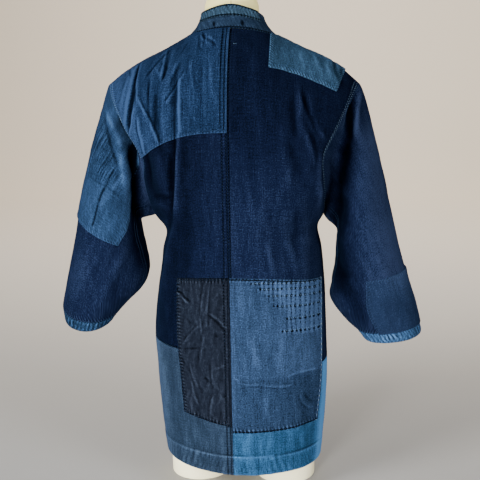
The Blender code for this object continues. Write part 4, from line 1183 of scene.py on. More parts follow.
class Finish:
    """A material around one Principled shader."""

    def __init__(self, name, **constants):
        self.material = bpy.data.materials.new(name)
        self.material.use_nodes = True
        self.tree = self.material.node_tree
        self.shader = self.tree.nodes["Principled BSDF"]
        for socket, value in constants.items():
            self.shader.inputs[socket.replace("_", " ")].default_value = value

    def node(self, kind, settings, sockets):
        """Adds a node: its settings first, then the values or links of its sockets."""
        made = self.tree.nodes.new(kind)
        for name, value in settings.items():
            setattr(made, name, value)
        for name, value in sockets.items():
            if isinstance(value, Value):
                self.tree.links.new(value.socket, made.inputs[name])
            elif isinstance(value, bpy.types.NodeSocket):
                self.tree.links.new(value, made.inputs[name])
            else:
                made.inputs[name].default_value = value
        return made

    def stretched(self, vector, u, v):
        """Coordinates counted in lengths of u and v, so that a pattern is that long there."""
        sized = self.node(
            "ShaderNodeVectorMath", {"operation": "MULTIPLY"}, {0: vector, 1: (1 / u, 1 / v, 1)}
        )
        return sized.outputs[0]

    def parts(self, vector):
        """The three numbers of a vector."""
        split = self.node("ShaderNodeSeparateXYZ", {}, {0: vector})
        return [Value(self, socket) for socket in split.outputs]

    def attribute(self, name, output="Vector"):
        """A value that each piece's mesh carries on its points."""
        return self.node("ShaderNodeAttribute", {"attribute_name": name}, {}).outputs[output]

    def place(self):
        """A point's place, in metres along x, y and z."""
        return self.node("ShaderNodeTexCoord", {}, {}).outputs["Object"]

    def noise(self, vector, u, v, detail, roughness=0.5):
        """Noise whose hills are about u by v long."""
        made = self.node(
            "ShaderNodeTexNoise", {},
            {"Vector": self.stretched(vector, u, v), "Scale": 1.0, "Detail": detail,
             "Roughness": roughness},
        )
        return Value(self, made.outputs["Fac"])

    def mix(self, factor, first, second):
        """The first colour at factor 0, the second at 1, and a blend between."""
        made = self.node(
            "ShaderNodeMix", {"data_type": "RGBA"}, {"Factor": factor, 6: first, 7: second}
        )
        return made.outputs[2]

    def feed(self, socket, value):
        """Links a value or a colour to a socket of the shader."""
        source = value.socket if isinstance(value, Value) else value
        self.tree.links.new(source, self.shader.inputs[socket])

    def bump(self, height, distance, strength):
        """Tilts the shading by a height, which stands for that many times the distance."""
        made = self.node(
            "ShaderNodeBump", {}, {"Height": height, "Distance": distance, "Strength": strength}
        )
        self.feed("Normal", made.outputs["Normal"])


def rgba(red, green, blue):
    """A colour of full opacity."""
    return (red, green, blue, 1.0)


SLUB, WEAVE = 0.0042, 0.0011  # length of a yarn's thick places, and one repeat of the weave


def indigo(name, colour, streaks=0.2, mottle=0.2, wear_shading_gain=0.8, twill=True, grain=0.4, quilted=False):
    """Indigo cloth: darker in the hollows as painted shade, down to near black in the deepest, and paler
    on what stands proud, partly as wear and partly as painted highlight; streaked by uneven yarn,
    a little mottled by fading, flecked by its weave. Beside seams it is pinched at each stitch:
    a painted shadow in the pit there, painted highlight on the cloth between. Where it is quilted,
    rows and columns of stitches sink in, with painted shadow in the holes of the rows.
    """
    mid = np.array(colour)
    deep, pale = 0.30 * mid, 2.4 * mid + np.array([0.010, 0.014, 0.018])
    made = Finish(name, Roughness=0.9, Sheen_Weight=0.025, Sheen_Roughness=0.45,
                  Sheen_Tint=rgba(0.16, 0.38, 0.90), Specular_IOR_Level=0.0)
    uv = made.node("ShaderNodeUVMap", {"uv_map": "cloth"}, {}).outputs["UV"]
    wear_and_shading = Value(made, made.attribute("wear_and_shading", "Fac"))
    across, along, _ = made.parts(uv)
    inset, count, pucker = made.parts(made.attribute("sewing"))
    row_a, row_b, tone = made.parts(made.attribute("thread_rows"))
    warp = made.noise(uv, SLUB * 0.5, SLUB * 9, detail=2.0, roughness=0.6)
    weft = made.noise(uv, SLUB * 7, SLUB * 0.5, detail=2.0, roughness=0.6)
    fading = made.noise(uv, 0.060, 0.085, detail=3.0, roughness=0.45)
    fleck = made.noise(uv, 0.0021, 0.0025, detail=1.0)
    pick = 2 * np.pi / WEAVE
    if twill:
        yarn = ((across + along) * pick).sine() * 0.5
    else:
        yarn = (across * pick).sine() * (along * pick).sine() * 0.5
    pit = count.peaks() ** 1.3
    groove = (1 - (inset - row_a).size() * 0.60).within() + (1 - (inset - row_b).size() * 0.60).within()
    thread_tone = tone * (0.15 + 1.15 * pit) - 0.14 - (tone * -1).within() * 0.40
    # a painted shadow in the pit at each stitch, a painted highlight on the pucker between
    pinched = pucker * (0.60 - 1.50 * pit) + groove * thread_tone
    sunk = pucker * pit * 1.6 + groove * (0.5 + pit)
    if quilted:
        row_gap, cols, area = made.parts(made.attribute("quilting"))
        uneven = made.noise(uv, 0.009, 0.009, detail=1.0).rise(0.32, 0.58)
        patchy = made.noise(uv, 0.005, 0.011, detail=1.0).rise(0.40, 0.60)
        on_row = (1.7 - row_gap * 0.62).within()
        on_column = (1.1 - (cols * np.pi).sine().size() * 2.6).within()
        # painted shadow in the holes of each quilted row
        holes = on_row * cols.peaks() * (uneven * 0.8 + 0.2)
        steps = on_column * (along * (1 / 0.0067) + cols * 0.5).peaks() * patchy
        drawn = on_row * uneven * 0.65 - holes * 2.3 - on_column * 0.05 - steps * 1.2
        pinched = pinched + area * drawn
        sunk = sunk + area * (holes + steps) * 2.0
    light = (
        0.42 + wear_and_shading * (wear_shading_gain * 0.6) + (warp - 0.5) * (streaks * 3.0) + (weft - 0.5) * (streaks * 2.2)
        + (fading - 0.5) * (mottle * 3.0) + (fleck - 0.5) * (grain * 2.4) + yarn * 0.05 + pinched
    )
    # the darkest end, near black, is painted shadow for the deepest valleys
    shadow_colour = made.mix(light.rise(-0.9, -0.1), rgba(*(0.04 * mid)), rgba(*deep))
    low = made.mix(light.rise(-0.1, 0.5), shadow_colour, rgba(*mid))
    made.feed("Base Color", made.mix(light.rise(0.5, 1.2), low, rgba(*pale)))
    made.feed("Roughness", 0.86 + 0.10 * (1 - fading))
    made.bump(yarn * 0.5 + warp * 0.7 + weft * 0.5 + fleck * 0.6 - sunk, distance=0.0005, strength=0.8)
    return made.material


def thread(name, colour):
    """Sewing thread: its twist shows as fine unevenness."""
    made = Finish(name, Roughness=0.6, Specular_IOR_Level=0.1)
    ply = made.noise(made.place(), 0.0012, 0.0012, detail=1.0)
    darker = tuple(0.6 * channel for channel in colour)
    made.feed("Base Color", made.mix(ply.rise(0.35, 0.65), rgba(*darker), rgba(*colour)))
    made.bump(ply, distance=0.0002, strength=0.6)
    return made.material


def form_cover():
    """Cream jersey stretched over the form: fine knit bump, a faint unevenness of colour, stumps
    painted paler as painted light from a low lamp, and a dark seam up the back of the neck.
    """
    made = Finish("cream_form_cover", Roughness=0.75, Sheen_Weight=0.15, Specular_IOR_Level=0.3)
    spot = made.place()
    soft = made.noise(spot, 0.05, 0.05, detail=3.0)
    knit = made.noise(spot, 0.0011, 0.0011, detail=1.0)
    cream = made.mix(soft.rise(0.3, 0.7), rgba(1.00, 0.84, 0.32), rgba(1.00, 0.91, 0.40))
    across, deep, height = made.parts(spot)
    # painted light: the stumps paler, as lit by the low lamp
    painted_light_below = (1 - height.rise(0.09, 0.16)) * 0.8
    cream = made.mix(painted_light_below, cream, rgba(1.00, 0.94, 0.68))
    centre = float(CENTRE_SHIFT[0])
    seam = (1 - (across - centre).size() * 900).within() * (0.5 - deep * 100).within()
    made.feed("Base Color", made.mix(seam * 0.8, cream, rgba(0.16, 0.09, 0.04)))
    made.feed("Roughness", 0.7 + 0.12 * soft)
    made.bump(knit, distance=0.0002, strength=0.5)
    return made.material


NAVY = indigo("navy_twill_cloth", (0.0053, 0.0091, 0.0274), streaks=0.29, mottle=0.10, wear_shading_gain=0.6, grain=0.7)
SHOULDER_BLUE = indigo("shoulder_patch_cloth", (0.0082, 0.0197, 0.0508), streaks=0.32, mottle=0.12,
                       wear_shading_gain=0.95, twill=False, grain=0.7)
FADED_BLUE = indigo("faded_twill_cloth", (0.0240, 0.0570, 0.1060), streaks=0.25, grain=0.6)
SLEEVE_BLUE = indigo("sleeve_patch_cloth", (0.0168, 0.0388, 0.0875), streaks=0.34, mottle=0.12,
                     wear_shading_gain=1.0, twill=False, grain=0.5, quilted=True)
CHARCOAL = indigo("charcoal_cotton_cloth", (0.0085, 0.0112, 0.0190), streaks=0.12, mottle=0.14,
                  wear_shading_gain=0.9, twill=False)
PATCH_BLUE = indigo("lower_blue_patch_cloth", (0.0194, 0.0378, 0.0810), streaks=0.26, mottle=0.12,
                    wear_shading_gain=1.0, twill=False, grain=0.65, quilted=True)
HEM_FINISH = {
    LEFT: indigo("hem_left_chambray", (0.0142, 0.0254, 0.0464), streaks=0.26, mottle=0.12,
                 wear_shading_gain=1.0, twill=False, grain=0.45),
    RIGHT: indigo("hem_right_chambray", (0.0305, 0.0990, 0.2150), streaks=0.26, mottle=0.10,
                  wear_shading_gain=0.9, twill=False, grain=0.45),
}
COLLAR_BLUE = indigo("collar_band_cotton", (0.0130, 0.0257, 0.0515), streaks=0.2, mottle=0.3, wear_shading_gain=0.9,
                     twill=False)
COLLAR_LIGHT = indigo("collar_strip_chambray", (0.0250, 0.0510, 0.0830), streaks=0.2, mottle=0.3,
                      wear_shading_gain=0.9, twill=False)
CUFF_BLUE = indigo("cuff_chambray_cloth", (0.0270, 0.0665, 0.1440), streaks=0.2, mottle=0.3, wear_shading_gain=1.2,
                   twill=False)
WRIST_BLUE = indigo("wrist_patch_cloth", (0.0118, 0.0218, 0.0530), wear_shading_gain=0.6)
THREADS = {
    "dark": thread("navy_thread", (0.012, 0.030, 0.070)),
    "blue": thread("blue_thread", (0.030, 0.070, 0.150)),
    "pale": thread("pale_blue_thread", (0.160, 0.270, 0.400)),
    "white": thread("white_thread", (0.300, 0.400, 0.480)),
}


# ---------------------------------------------------------------- making the pieces
cloths = {}  # the piece that stands for each CAD node


def finish_piece(cloth, finish, slot, node):
    """Builds a piece's shell and hides the CAD node it stands for."""
    cloths[node] = cloth
    built = shell(cloth, finish, slot)
    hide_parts(node)


def finish_patch(patch, finish, slot, node):
    """A patch's edges are turned under, so a low step shows where the turning ends."""
    patch.own += 0.00045 * (1 - ramp(patch.inset(patch.open_edges), 0.0068, 0.0086))
    finish_piece(patch, finish, slot, node)


def turned_hem(panel, turn, fade, wave, slant, seed):
    """The rolls of a turned hem: full over the depth of its turning, gone a fade above it."""
    band = (1 - ramp(panel.low, turn - 0.002, turn + fade)) * ramp(panel.low, 0, 0.003)
    return roped(panel.u, panel.low, wave, slant, seed) * band


def make_panels(side, name, patch_edge):
    """A lower back panel with its turned hem, and the back above it."""
    left = side == LEFT
    rise = PANEL_RISE[side]
    join = PANEL_TOP[side] - 0.45 * rise
    hem = body_piece("hem_panel_" + name, side, HEM, join, top_end=rise)
    hem.seam_valley("top start end")
    hem.seam_valley("low", depth=0.0006, reach=0.0016)
    hem.sewn("top", (0.0022,), wave=0.0060, pucker=0.5, seed=41, thread="blue",
             first=0.40 if left else 0.76, last=0.99)
    if left:
        hem.sewn("start", (0.0036, 0.0105), wave=0.0056, pucker=0.16, seed=43, thread="dark",
                 last=0.46, slant=0.0)
    else:
        hem.sewn("start", (0.0022,), wave=0.0060, pucker=0.2, seed=43, thread="blue", last=0.46)
    rolls = turned_hem(hem, HEM_TURN, fade=0.004, wave=0.0090, slant=0.35, seed=47)
    hem.rolled(rolls, rise=0.0007, tone=0.45)
    hem.own += 0.0006 * (1 - ramp(hem.low, HEM_TURN - 0.0005, HEM_TURN + 0.0010))
    # a pale line along the edge of the turning, and a painted shadow of its step just above it
    hem.wear_and_shading += 0.7 * bell(hem.low - HEM_TURN + 0.001, 0.0016)
    hem.wear_and_shading -= 0.8 * bell(hem.low - HEM_TURN - 0.0012, 0.0012)
    # painted light: each lower panel paler towards its side, where the side light falls, and the right one
    # darker away from its side
    hem.wear_and_shading += 0.9 * ramp(hem.share, 0.50, 0.85) if left else 2.4 * ramp(hem.share, 0.72, 0.88) - 0.60
    hem.edge_toned("low", tone=0.8, reach=0.0020)
    hem.stitched("low", HEM_TURN - 0.0022, wave=0.0042, seed=3, thread="blue", slant=0.0)
    sunk_under(hem, low=PATCH_LOW[side], top=NECK_TOP, start=None, end=patch_edge,
               slant=PATCH_SLANT if left else 0.0)
    finish_piece(hem, HEM_FINISH[side], "hem_chambray", "panel_hem_" + name)

    back = body_piece("back_panel_" + name, side, join, NECK_TOP, low_end=rise)
    back.seam_valley("low top start end")
    if left:
        bare = (SHOULDER_PATCH_LOW[LEFT] - PANEL_TOP[LEFT]) / (NECK_TOP - PANEL_TOP[LEFT])
        back.sewn("start", (0.0022, 0.0095), wave=0.0055, pucker=0.25, seed=51, thread="dark",
                  first=0.24, last=bare)
        back.sewn("end", (0.0022, 0.0080), wave=0.0055, pucker=0.5, seed=53, thread="blue", first=0.44,
                  last=bare)
        # painted shade: the left back darker towards its side, by the sleeve
        back.wear_and_shading -= 0.25 + 1.1 * ramp(back.share, 0.15, 0.50)
    else:
        back.sewn("start", (0.0022,), wave=0.0055, pucker=0.2, seed=55, thread="dark", first=0.28, last=0.99)
        back.sewn("end", (0.0022, 0.0080), wave=0.0055, pucker=0.6, seed=57, thread="pale", first=0.46,
                  last=0.99)
        # painted shade: the right back darker towards the top, and darkest by the armhole below 0.6 m
        back.wear_and_shading += 0.25 - 1.1 * ramp(back.z, 0.52, 0.72)
        back.wear_and_shading -= 1.6 * ramp(back.share, 0.86, 1.0) * (1 - ramp(back.z, 0.60, 0.66))
    back.sewn("low", (0.0022,), wave=0.0060, pucker=0.4, seed=59, thread="dark",
              first=0.45 if left else 0.8, last=0.99)
    sunk_under(back, low=0.0, top=PATCH_TOP, start=None, end=patch_edge)
    shoulder_edges = (None, None) if left else (FADED_START, BLUE_EDGE)
    sunk_under(back, SHOULDER_PATCH_LOW[side], NECK_TOP, *shoulder_edges)
    finish_piece(back, NAVY, "navy_twill", "back_" + name)


def make_front(side, name):
    """A plain front, from the collar band to the side seam."""
    front = body_piece("front_panel_" + name, side, HEM, NECK_TOP, cell=1.15 * CELL, front=True)
    front.seam_valley("top start end")
    front.seam_valley("low", depth=0.0006, reach=0.0016)
    front.sewn("start", (0.0024,), wave=0.0055, pucker=0.4, seed=61, thread="dark")
    front.sewn("end", (0.0022,), wave=0.0055, pucker=0.4, seed=63, thread="blue", last=0.99)
    rolls = turned_hem(front, FRONT_TURN, fade=0.003, wave=0.0115, slant=0.55, seed=49)
    front.rolled(rolls, rise=0.0014, tone=0.8)
    front.stitched("low", FRONT_TURN, wave=0.0042, seed=3, thread="dark", slant=0.0)
    finish_piece(front, NAVY, "navy_twill", "front_" + name)


def make_charcoal_patch():
    """The very wrinkled charcoal patch on the lower left back."""
    patch = body_patch("charcoal_back_patch", LEFT, low=PATCH_LOW[LEFT], top=PATCH_TOP, start=0.0,
                       end=CHARCOAL_EDGE, open_edges="low top end start", low_end=PATCH_SLANT)
    patch.crumpled(rise=0.0024, wave=0.014, seed=101, raised=0.0006, low=-0.0006, stretch=0.7)
    patch.pressed(CHARCOAL_CREASES, 0.9)
    patch.sewn("low top end", (0.0012, 0.0042), wave=0.0062, pucker=0.9, seed=103, thread="dark", slant=0.0)
    patch.sewn("start", (0.0036, 0.0105), wave=0.0056, pucker=0.16, seed=107, thread="dark", slant=0.0)
    # painted shadow along the patch's edges
    patch.edge_toned(patch.open_edges, tone=-0.7, reach=0.0012)
    finish_patch(patch, CHARCOAL, "charcoal_cotton", "patch_back_charcoal")


def make_blue_patch():
    """The blue patch on the lower right back, with its hand stitching."""
    patch = body_patch("blue_back_patch", RIGHT, low=PATCH_LOW[RIGHT], top=PATCH_TOP, start=0.0,
                       end=BLUE_EDGE, open_edges="low top end start")
    patch.crumpled(rise=0.0008, wave=0.020, seed=111, raised=0.0004, low=-0.0005)
    patch.pressed(BLUE_CREASES, 0.5)
    patch.sewn("low", (0.0030,), wave=0.0070, pucker=1.1, seed=113, thread="dark", slant=0.2)
    patch.sewn("top", (0.0024,), wave=0.0062, pucker=0.5, seed=115, thread="dark")
    patch.sewn("end", (0.0050,), wave=0.0096, pucker=0.5, seed=117, thread="white", slant=0.0)
    # painted shadow along its lower and side edges
    patch.edge_toned("low end", tone=-1.0, reach=0.0014)
    patch.wear_and_shading -= 0.28 * ramp(0.232 - patch.z, -0.004, 0.004) * ramp(patch.x, 0.0, 0.02)
    patch.wear_and_shading += 0.25 * ramp(patch.x, 0.07, 0.13) * ramp(patch.z, 0.225, 0.240)
    quilt(patch)
    finish_patch(patch, PATCH_BLUE, "patch_chambray", "patch_back_blue")


def quilt(patch):
    """Notes the rows and columns of hand stitching on the blue patch, which swells between them."""
    down = patch.top + SASHIKO_SLOPE * (patch.x - SASHIKO_MIDDLE)
    row_gap = np.abs(down[..., None] - np.array(SASHIKO_ROWS)).min(axis=2)
    first = np.interp(down, SASHIKO_ROWS, SASHIKO_FIRST) + 0.006 * hills(down / 0.006, 0 * down, 119)
    last = SASHIKO_LAST
    area = ramp(patch.x, first - 0.004, first + 0.004) * (1 - ramp(patch.x, last - 0.003, last))
    area *= 1 - ramp(down, 0.096, 0.104)
    swell = np.abs(np.sin(np.pi * patch.x / SASHIKO_COLUMN)) * np.clip(row_gap / 0.004, 0, 1)
    patch.own += area * 0.0006 * swell
    patch.wear_and_shading += 0.45 * area * ramp(patch.x, first, first + 0.030)
    for heavy in (0.105, 0.120):  # two columns that are drawn in harder
        area *= 1 + 0.7 * bell(patch.x - heavy, 0.0030)
    area *= 1.0 + 0.5 * hills(patch.x / 0.016, down / 0.014, 123)
    columns_at = patch.x / SASHIKO_COLUMN + 0.22 * hills(patch.x / 0.020, down / 0.015, 121)
    patch.quilting = np.stack([1000 * row_gap, columns_at, area], axis=-1)


def make_shoulder_patches():
    """The wide blue patch over the left shoulder and the faded one over the right."""
    yoke = body_patch("shoulder_patch_left", LEFT, low=SHOULDER_PATCH_LOW[LEFT], top=NECK_TOP,
                      start=0.0, end=1.0, open_edges="low start")
    yoke.crumpled(rise=0.0010, wave=0.016, seed=121, raised=0.0003, low=-0.0001, stretch=0.5)
    yoke.pressed(SHOULDER_CREASES)
    yoke.sewn("low", (0.0050,), wave=0.0058, pucker=0.45, seed=123, thread="blue", slant=0.0)
    yoke.sewn("start", (0.0050, 0.0115), wave=0.0058, pucker=0.12, seed=125, thread="dark", slant=0.0)
    yoke.sewn("end", (0.0022, 0.0085), wave=0.0055, pucker=0.7, seed=127, thread="pale", last=0.97)
    yoke.wear_and_shading += 0.9 * bell(yoke.end - 0.0054, 0.0016) * ramp(yoke.v, 0.0, 0.02)
    yoke.edge_toned(yoke.open_edges, tone=1.1, reach=0.0016)
    yoke.wear_and_shading += 0.75 * ramp(yoke.share, 0.62, 0.90)
    finish_patch(yoke, SHOULDER_BLUE, "patch_chambray", "patch_shoulder_left")

    faded = body_patch("shoulder_patch_right", RIGHT, low=SHOULDER_PATCH_LOW[RIGHT], top=NECK_TOP,
                       start=FADED_START, end=BLUE_EDGE, open_edges="low start end")
    faded.crumpled(rise=0.0005, wave=0.024, seed=131, raised=0.0002, low=-0.0001)
    faded.crumpled(rise=0.0017, wave=0.011, seed=137, raised=0.0, low=-0.0003, high=0.002, stretch=0.5)
    faded.pressed(FADED_CREASES)
    faded.sewn(faded.open_edges, (0.0024,), wave=0.0058, pucker=0.85, seed=133, thread="blue")
    faded.edge_toned(faded.open_edges, tone=0.6, reach=0.0012)
    finish_patch(faded, FADED_BLUE, "faded_twill", "patch_shoulder_right")


def sleeve_piece(name, side, first, last, turns, cell, wrap, length, part=None):
    """A stretch of a sleeve between two stations: rings round it, or a part of each ring.

    part: the front edge, and the back edge along the sleeve, between which turns are shares.
    """
    rows = spread(length, cell)
    stations = first + (last - first) * rows
    turn, inside = np.tile(turns, (len(stations), 1)), None
    if part:
        front_end, edge = part
        turn = front_end + (through(stations, *edge) - front_end)[:, None] * turns
        rings = sleeve_surface(side, stations, np.linspace(-1, 1, 401))
        points = blended(rings, np.arange(len(stations))[:, None] + 0 * turn, (turn + 1) * 200)
    else:
        points = sleeve_surface(side, stations, turns)
    if not wrap:
        inside = sleeve_surface(side, stations, np.linspace(-1, 1, 60)).mean(axis=1)[:, None]
    cloth = Cloth(name, points, inside, rows, np.linspace(0, 1, len(turns)), wrap)
    facing, x, z = cloth.normal[..., 1], cloth.x, cloth.z
    fade = ramp(stations, 0.0, 0.018)[:, None]
    relief = np.where(facing < 0, creases(x, z, SLEEVE_CREASES[side, "back"]),
                      creases(x, z, SLEEVE_CREASES[side, "front"]))
    away = np.where(facing < 0, 0.0, 0.5)
    cloth.shared = relief * ramp(np.abs(facing), 0.02, 0.30) * fade
    cloth.shared += slack(np.abs(x) + away + 0.4 * z, z, 81 + side) * fade
    # painted shade and paler strokes from SLEEVE_TONES, on the sleeve's back
    cloth.wear_and_shading += creases(x, z, SLEEVE_TONES[side]) * ramp(-facing, -0.1, 0.3)
    cloth.stations, cloth.turn = stations[:, None] + 0 * x, turn
    return cloth


def both_halves(half):
    """Turns all round a sleeve, from shares down its back."""
    return np.concatenate([half, -half[-2:0:-1]])


def make_sleeve(side, name):
    """A sleeve, pressed in under its patch."""
    turns = both_halves(spread(HALF_ROUND, CELL, CELL))
    sleeve = sleeve_piece("sleeve_tube_" + name, side, first=0.0, last=SLEEVE_END, turns=turns,
                          cell=CELL, wrap=True, length=SLEEVE_LENGTH)
    sleeve.seam_valley("low top")
    sleeve.wear_and_shading += 0.15 if side == LEFT else 0.50
    sleeve.sewn("low", (0.0022,), wave=0.0055, pucker=0.4, seed=201, thread="blue")
    sleeve.sewn("top", (0.0030,), wave=0.0060, pucker=0.8, seed=203, thread="blue", reach=0.006)
    first, last, front_end, edge = SLEEVE_PATCH[side]
    back_end = through(sleeve.stations, *np.array(edge).T)
    patch_in = np.minimum.reduce([
        (last - sleeve.stations) * SLEEVE_LENGTH if last < SLEEVE_END else sleeve.far,
        (sleeve.stations - first) * SLEEVE_LENGTH if first > 0 else sleeve.far,
        (sleeve.turn - front_end) * HALF_ROUND, (back_end - sleeve.turn) * HALF_ROUND,
    ])
    sleeve.pressed_in(ramp(patch_in, PRESS_START, PRESS_FULL))
    finish_piece(sleeve, NAVY, "navy_twill", "sleeve_" + name)


def make_cuff(side, name):
    """The light band at a sleeve's end, roped by washing."""
    turns = both_halves(spread(0.17, 0.0021, 0.0021))
    band = sleeve_piece("cuff_band_" + name, side, first=SLEEVE_END, last=BAND_END, turns=turns,
                        cell=0.0020, wrap=True, length=0.027)
    rope = roped(band.u, band.v, wave=0.0082, slant=0.45, seed=207 + side)
    band.rolled(rope * ramp(band.inset("low top"), 0, 0.004), rise=0.0017, tone=1.0)
    band.wear_and_shading += 0.6 * crush(band.u, band.v, wave=0.012, seed=221) - (0.7 if side == LEFT else 0.0)
    band.sewn("low top", (0.0026,), wave=0.0055, pucker=0.5, seed=209, thread="blue")
    band.seam_valley("low", depth=0.0008, reach=0.0026)
    band.seam_valley("top", depth=0.0007, reach=0.0018)
    finish_piece(band, CUFF_BLUE, "cuff_chambray", "cuff_" + name)


def make_sleeve_patch(side, name):
    """The crinkled patch round the left sleeve, or the plain one near the right wrist."""
    left = side == LEFT
    first, last, front_end, edge = SLEEVE_PATCH[side]
    edge = np.array(edge).T
    cols = spread((edge[1].mean() - front_end) * HALF_ROUND, PATCH_CELL)
    part_of_sleeve = sleeve_piece("sleeve_patch_" + name, side, first=first, last=last, turns=cols,
                                  cell=PATCH_CELL, wrap=False, length=(last - first) * SLEEVE_LENGTH,
                                  part=(front_end, edge))
    patch = laid(part_of_sleeve, "top start end" if left else "low start end")
    if left:
        pleat = 0.0064
        lines = 0.25 * patch.turn + 0.004 * hills(patch.v / 0.05, patch.u / 0.04, 209)
        worn_edge = -0.236 + 0.266 * (0.700 - patch.z)
        # the part that is pleated and worn: high up, and outside of a slanting line
        upper = ramp(patch.z, 0.575, 0.595) * ramp(worn_edge - patch.x, -0.002, 0.010)
        pleats = roped(lines, 0.3 * patch.v, wave=pleat, slant=0.1, seed=211)
        pleats += 0.8 * crush(lines, 0.3 * patch.v, wave=0.0080, seed=219)
        crumple = 0.0004 * crush(patch.u, patch.v, wave=0.018, seed=217) + 0.0006
        patch.own += np.clip(0.0008 * pleats * (0.2 + upper) + crumple, -0.0001, 0.004)
        # pleat tops paler and their valleys darker, wear together with painted light and shade; the worn part
        # a little darker as a whole
        patch.wear_and_shading += 0.60 * pleats * (0.2 + upper) - 0.30 * upper
        patch.pressed(SLEEVE_PATCH_CREASES)
        patch.quilting = np.stack([0 * lines + OUT_OF_REACH, lines / pleat, 0.9 * upper], axis=-1)
    else:
        patch.crumpled(rise=0.0005, wave=0.024, seed=213, raised=0.0002, low=-0.0001)
    patch.sewn(patch.open_edges, (0.0024,), wave=0.0058, pucker=0.6 if left else 0.3, seed=215, thread="blue")
    patch.edge_toned(patch.open_edges, tone=0.35, reach=0.0014)
    finish, slot = (SLEEVE_BLUE, "patch_chambray") if left else (WRIST_BLUE, "faded_twill")
    finish_patch(patch, finish, slot, "patch_sleeve_" + name)


def make_collar():
    """The band round the neck and down the fronts, pressed in under its lighter strip."""
    seam = collar_seam(0.0026)
    across = spread(COLLAR_WIDTH, 0.0024)
    points = collar_surface(seam, across)
    inside = middle_line(seam[:, 2] - 0.03)
    band = Cloth("collar_band_cloth", points, inside, run_shares(seam[:, :3]), across)
    run = band.v
    band.shared = 0.0007 * hills(run / 0.030, band.u / 0.030, 301)
    band.shared += 0.0004 * hills(run / 0.012, band.u / 0.02, 302)
    band.shared *= ramp(band.inset("start"), 0, 0.006)
    rope = roped(run, band.u, wave=0.0105, slant=0.5, seed=303)
    band.rolled(rope * ramp(band.inset("start end"), 0, 0.003), rise=0.0004, tone=0.22)
    for tack in TACKS:
        near = bell(band.x - tack, 0.0022) * np.exp(-((band.u - 0.010) / 0.0045) ** 4)
        band.wear_and_shading -= 2.4 * near * ramp(seam[:, 3], 1.2, 1.4)[:, None]
    band.sewn("start", (0.0026,), wave=0.0055, pucker=0.5, seed=305, thread="dark")
    band.sewn("end", (0.0030,), wave=0.0055, pucker=0.5, seed=307, thread="blue")
    band.seam_valley("start", depth=0.0008, reach=0.0026)
    band.seam_valley("end", depth=0.0007, reach=0.0020)
    beside = (np.clip(seam[:, 3], 0, 2)[:, None] - STRIP_START) * NAPE_RUN
    above = band.u - STRIP_LOW * COLLAR_WIDTH
    band.pressed_in(ramp(beside, PRESS_START, PRESS_FULL) * ramp(above, PRESS_START, PRESS_FULL))
    finish_piece(band, COLLAR_BLUE, "collar_cotton", "collar_band")
    make_collar_strip(seam, band)


def make_collar_strip(seam, band):
    """The lighter crinkled strip along the band's upper part, at the back of the neck."""
    chosen = np.flatnonzero(seam[:, 3] >= STRIP_START)
    nape = seam[chosen]
    across = spread((1 - STRIP_LOW) * COLLAR_WIDTH, 0.0018)
    points = collar_surface(nape, STRIP_LOW + (1 - STRIP_LOW) * across)
    inside = middle_line(nape[:, 2] - 0.03)
    strip = laid(Cloth("collar_strip", points, inside, run_shares(nape[:, :3]), across),
                 "low top start end")
    strip.shared = softened(band.shared, 1)[chosen, -1:] + 0 * strip.x
    strip.rolled(roped(strip.v, strip.u, wave=0.0078, slant=0.7, seed=311), rise=0.0007, tone=0.6)
    strip.own += 0.0003
    strip.wear_and_shading += 0.4 * crush(strip.v, strip.u, wave=0.008, seed=315)
    strip.sewn("start end low top", (0.0020,), wave=0.0055, pucker=0.6, seed=313, thread="dark",
               first=0.01, last=0.99)
    finish_piece(strip, COLLAR_LIGHT, "patch_chambray", "patch_collar")


def revolved(rings):
    """Faces of a stack of rings (ring, point, xyz), closed by one point below and one above."""
    rows, cols = rings.shape[:2]
    index = np.arange(rows * cols).reshape(rows, cols)
    after = np.roll(index, -1, axis=1)
    quads = grid_faces(np.concatenate([index, index[:, :1]], axis=1))
    ends = np.stack([rings[0].mean(axis=0), rings[-1].mean(axis=0)])
    points = np.concatenate([rings.reshape(-1, 3), ends])
    sides = np.concatenate([quads[:, [0, 1, 2]], quads[:, [0, 2, 3]]])
    low = np.stack([after[0], index[0], np.full(cols, rows * cols)], axis=1)
    top = np.stack([index[-1], after[-1], np.full(cols, rows * cols + 1)], axis=1)
    return points, np.concatenate([sides, low, top])


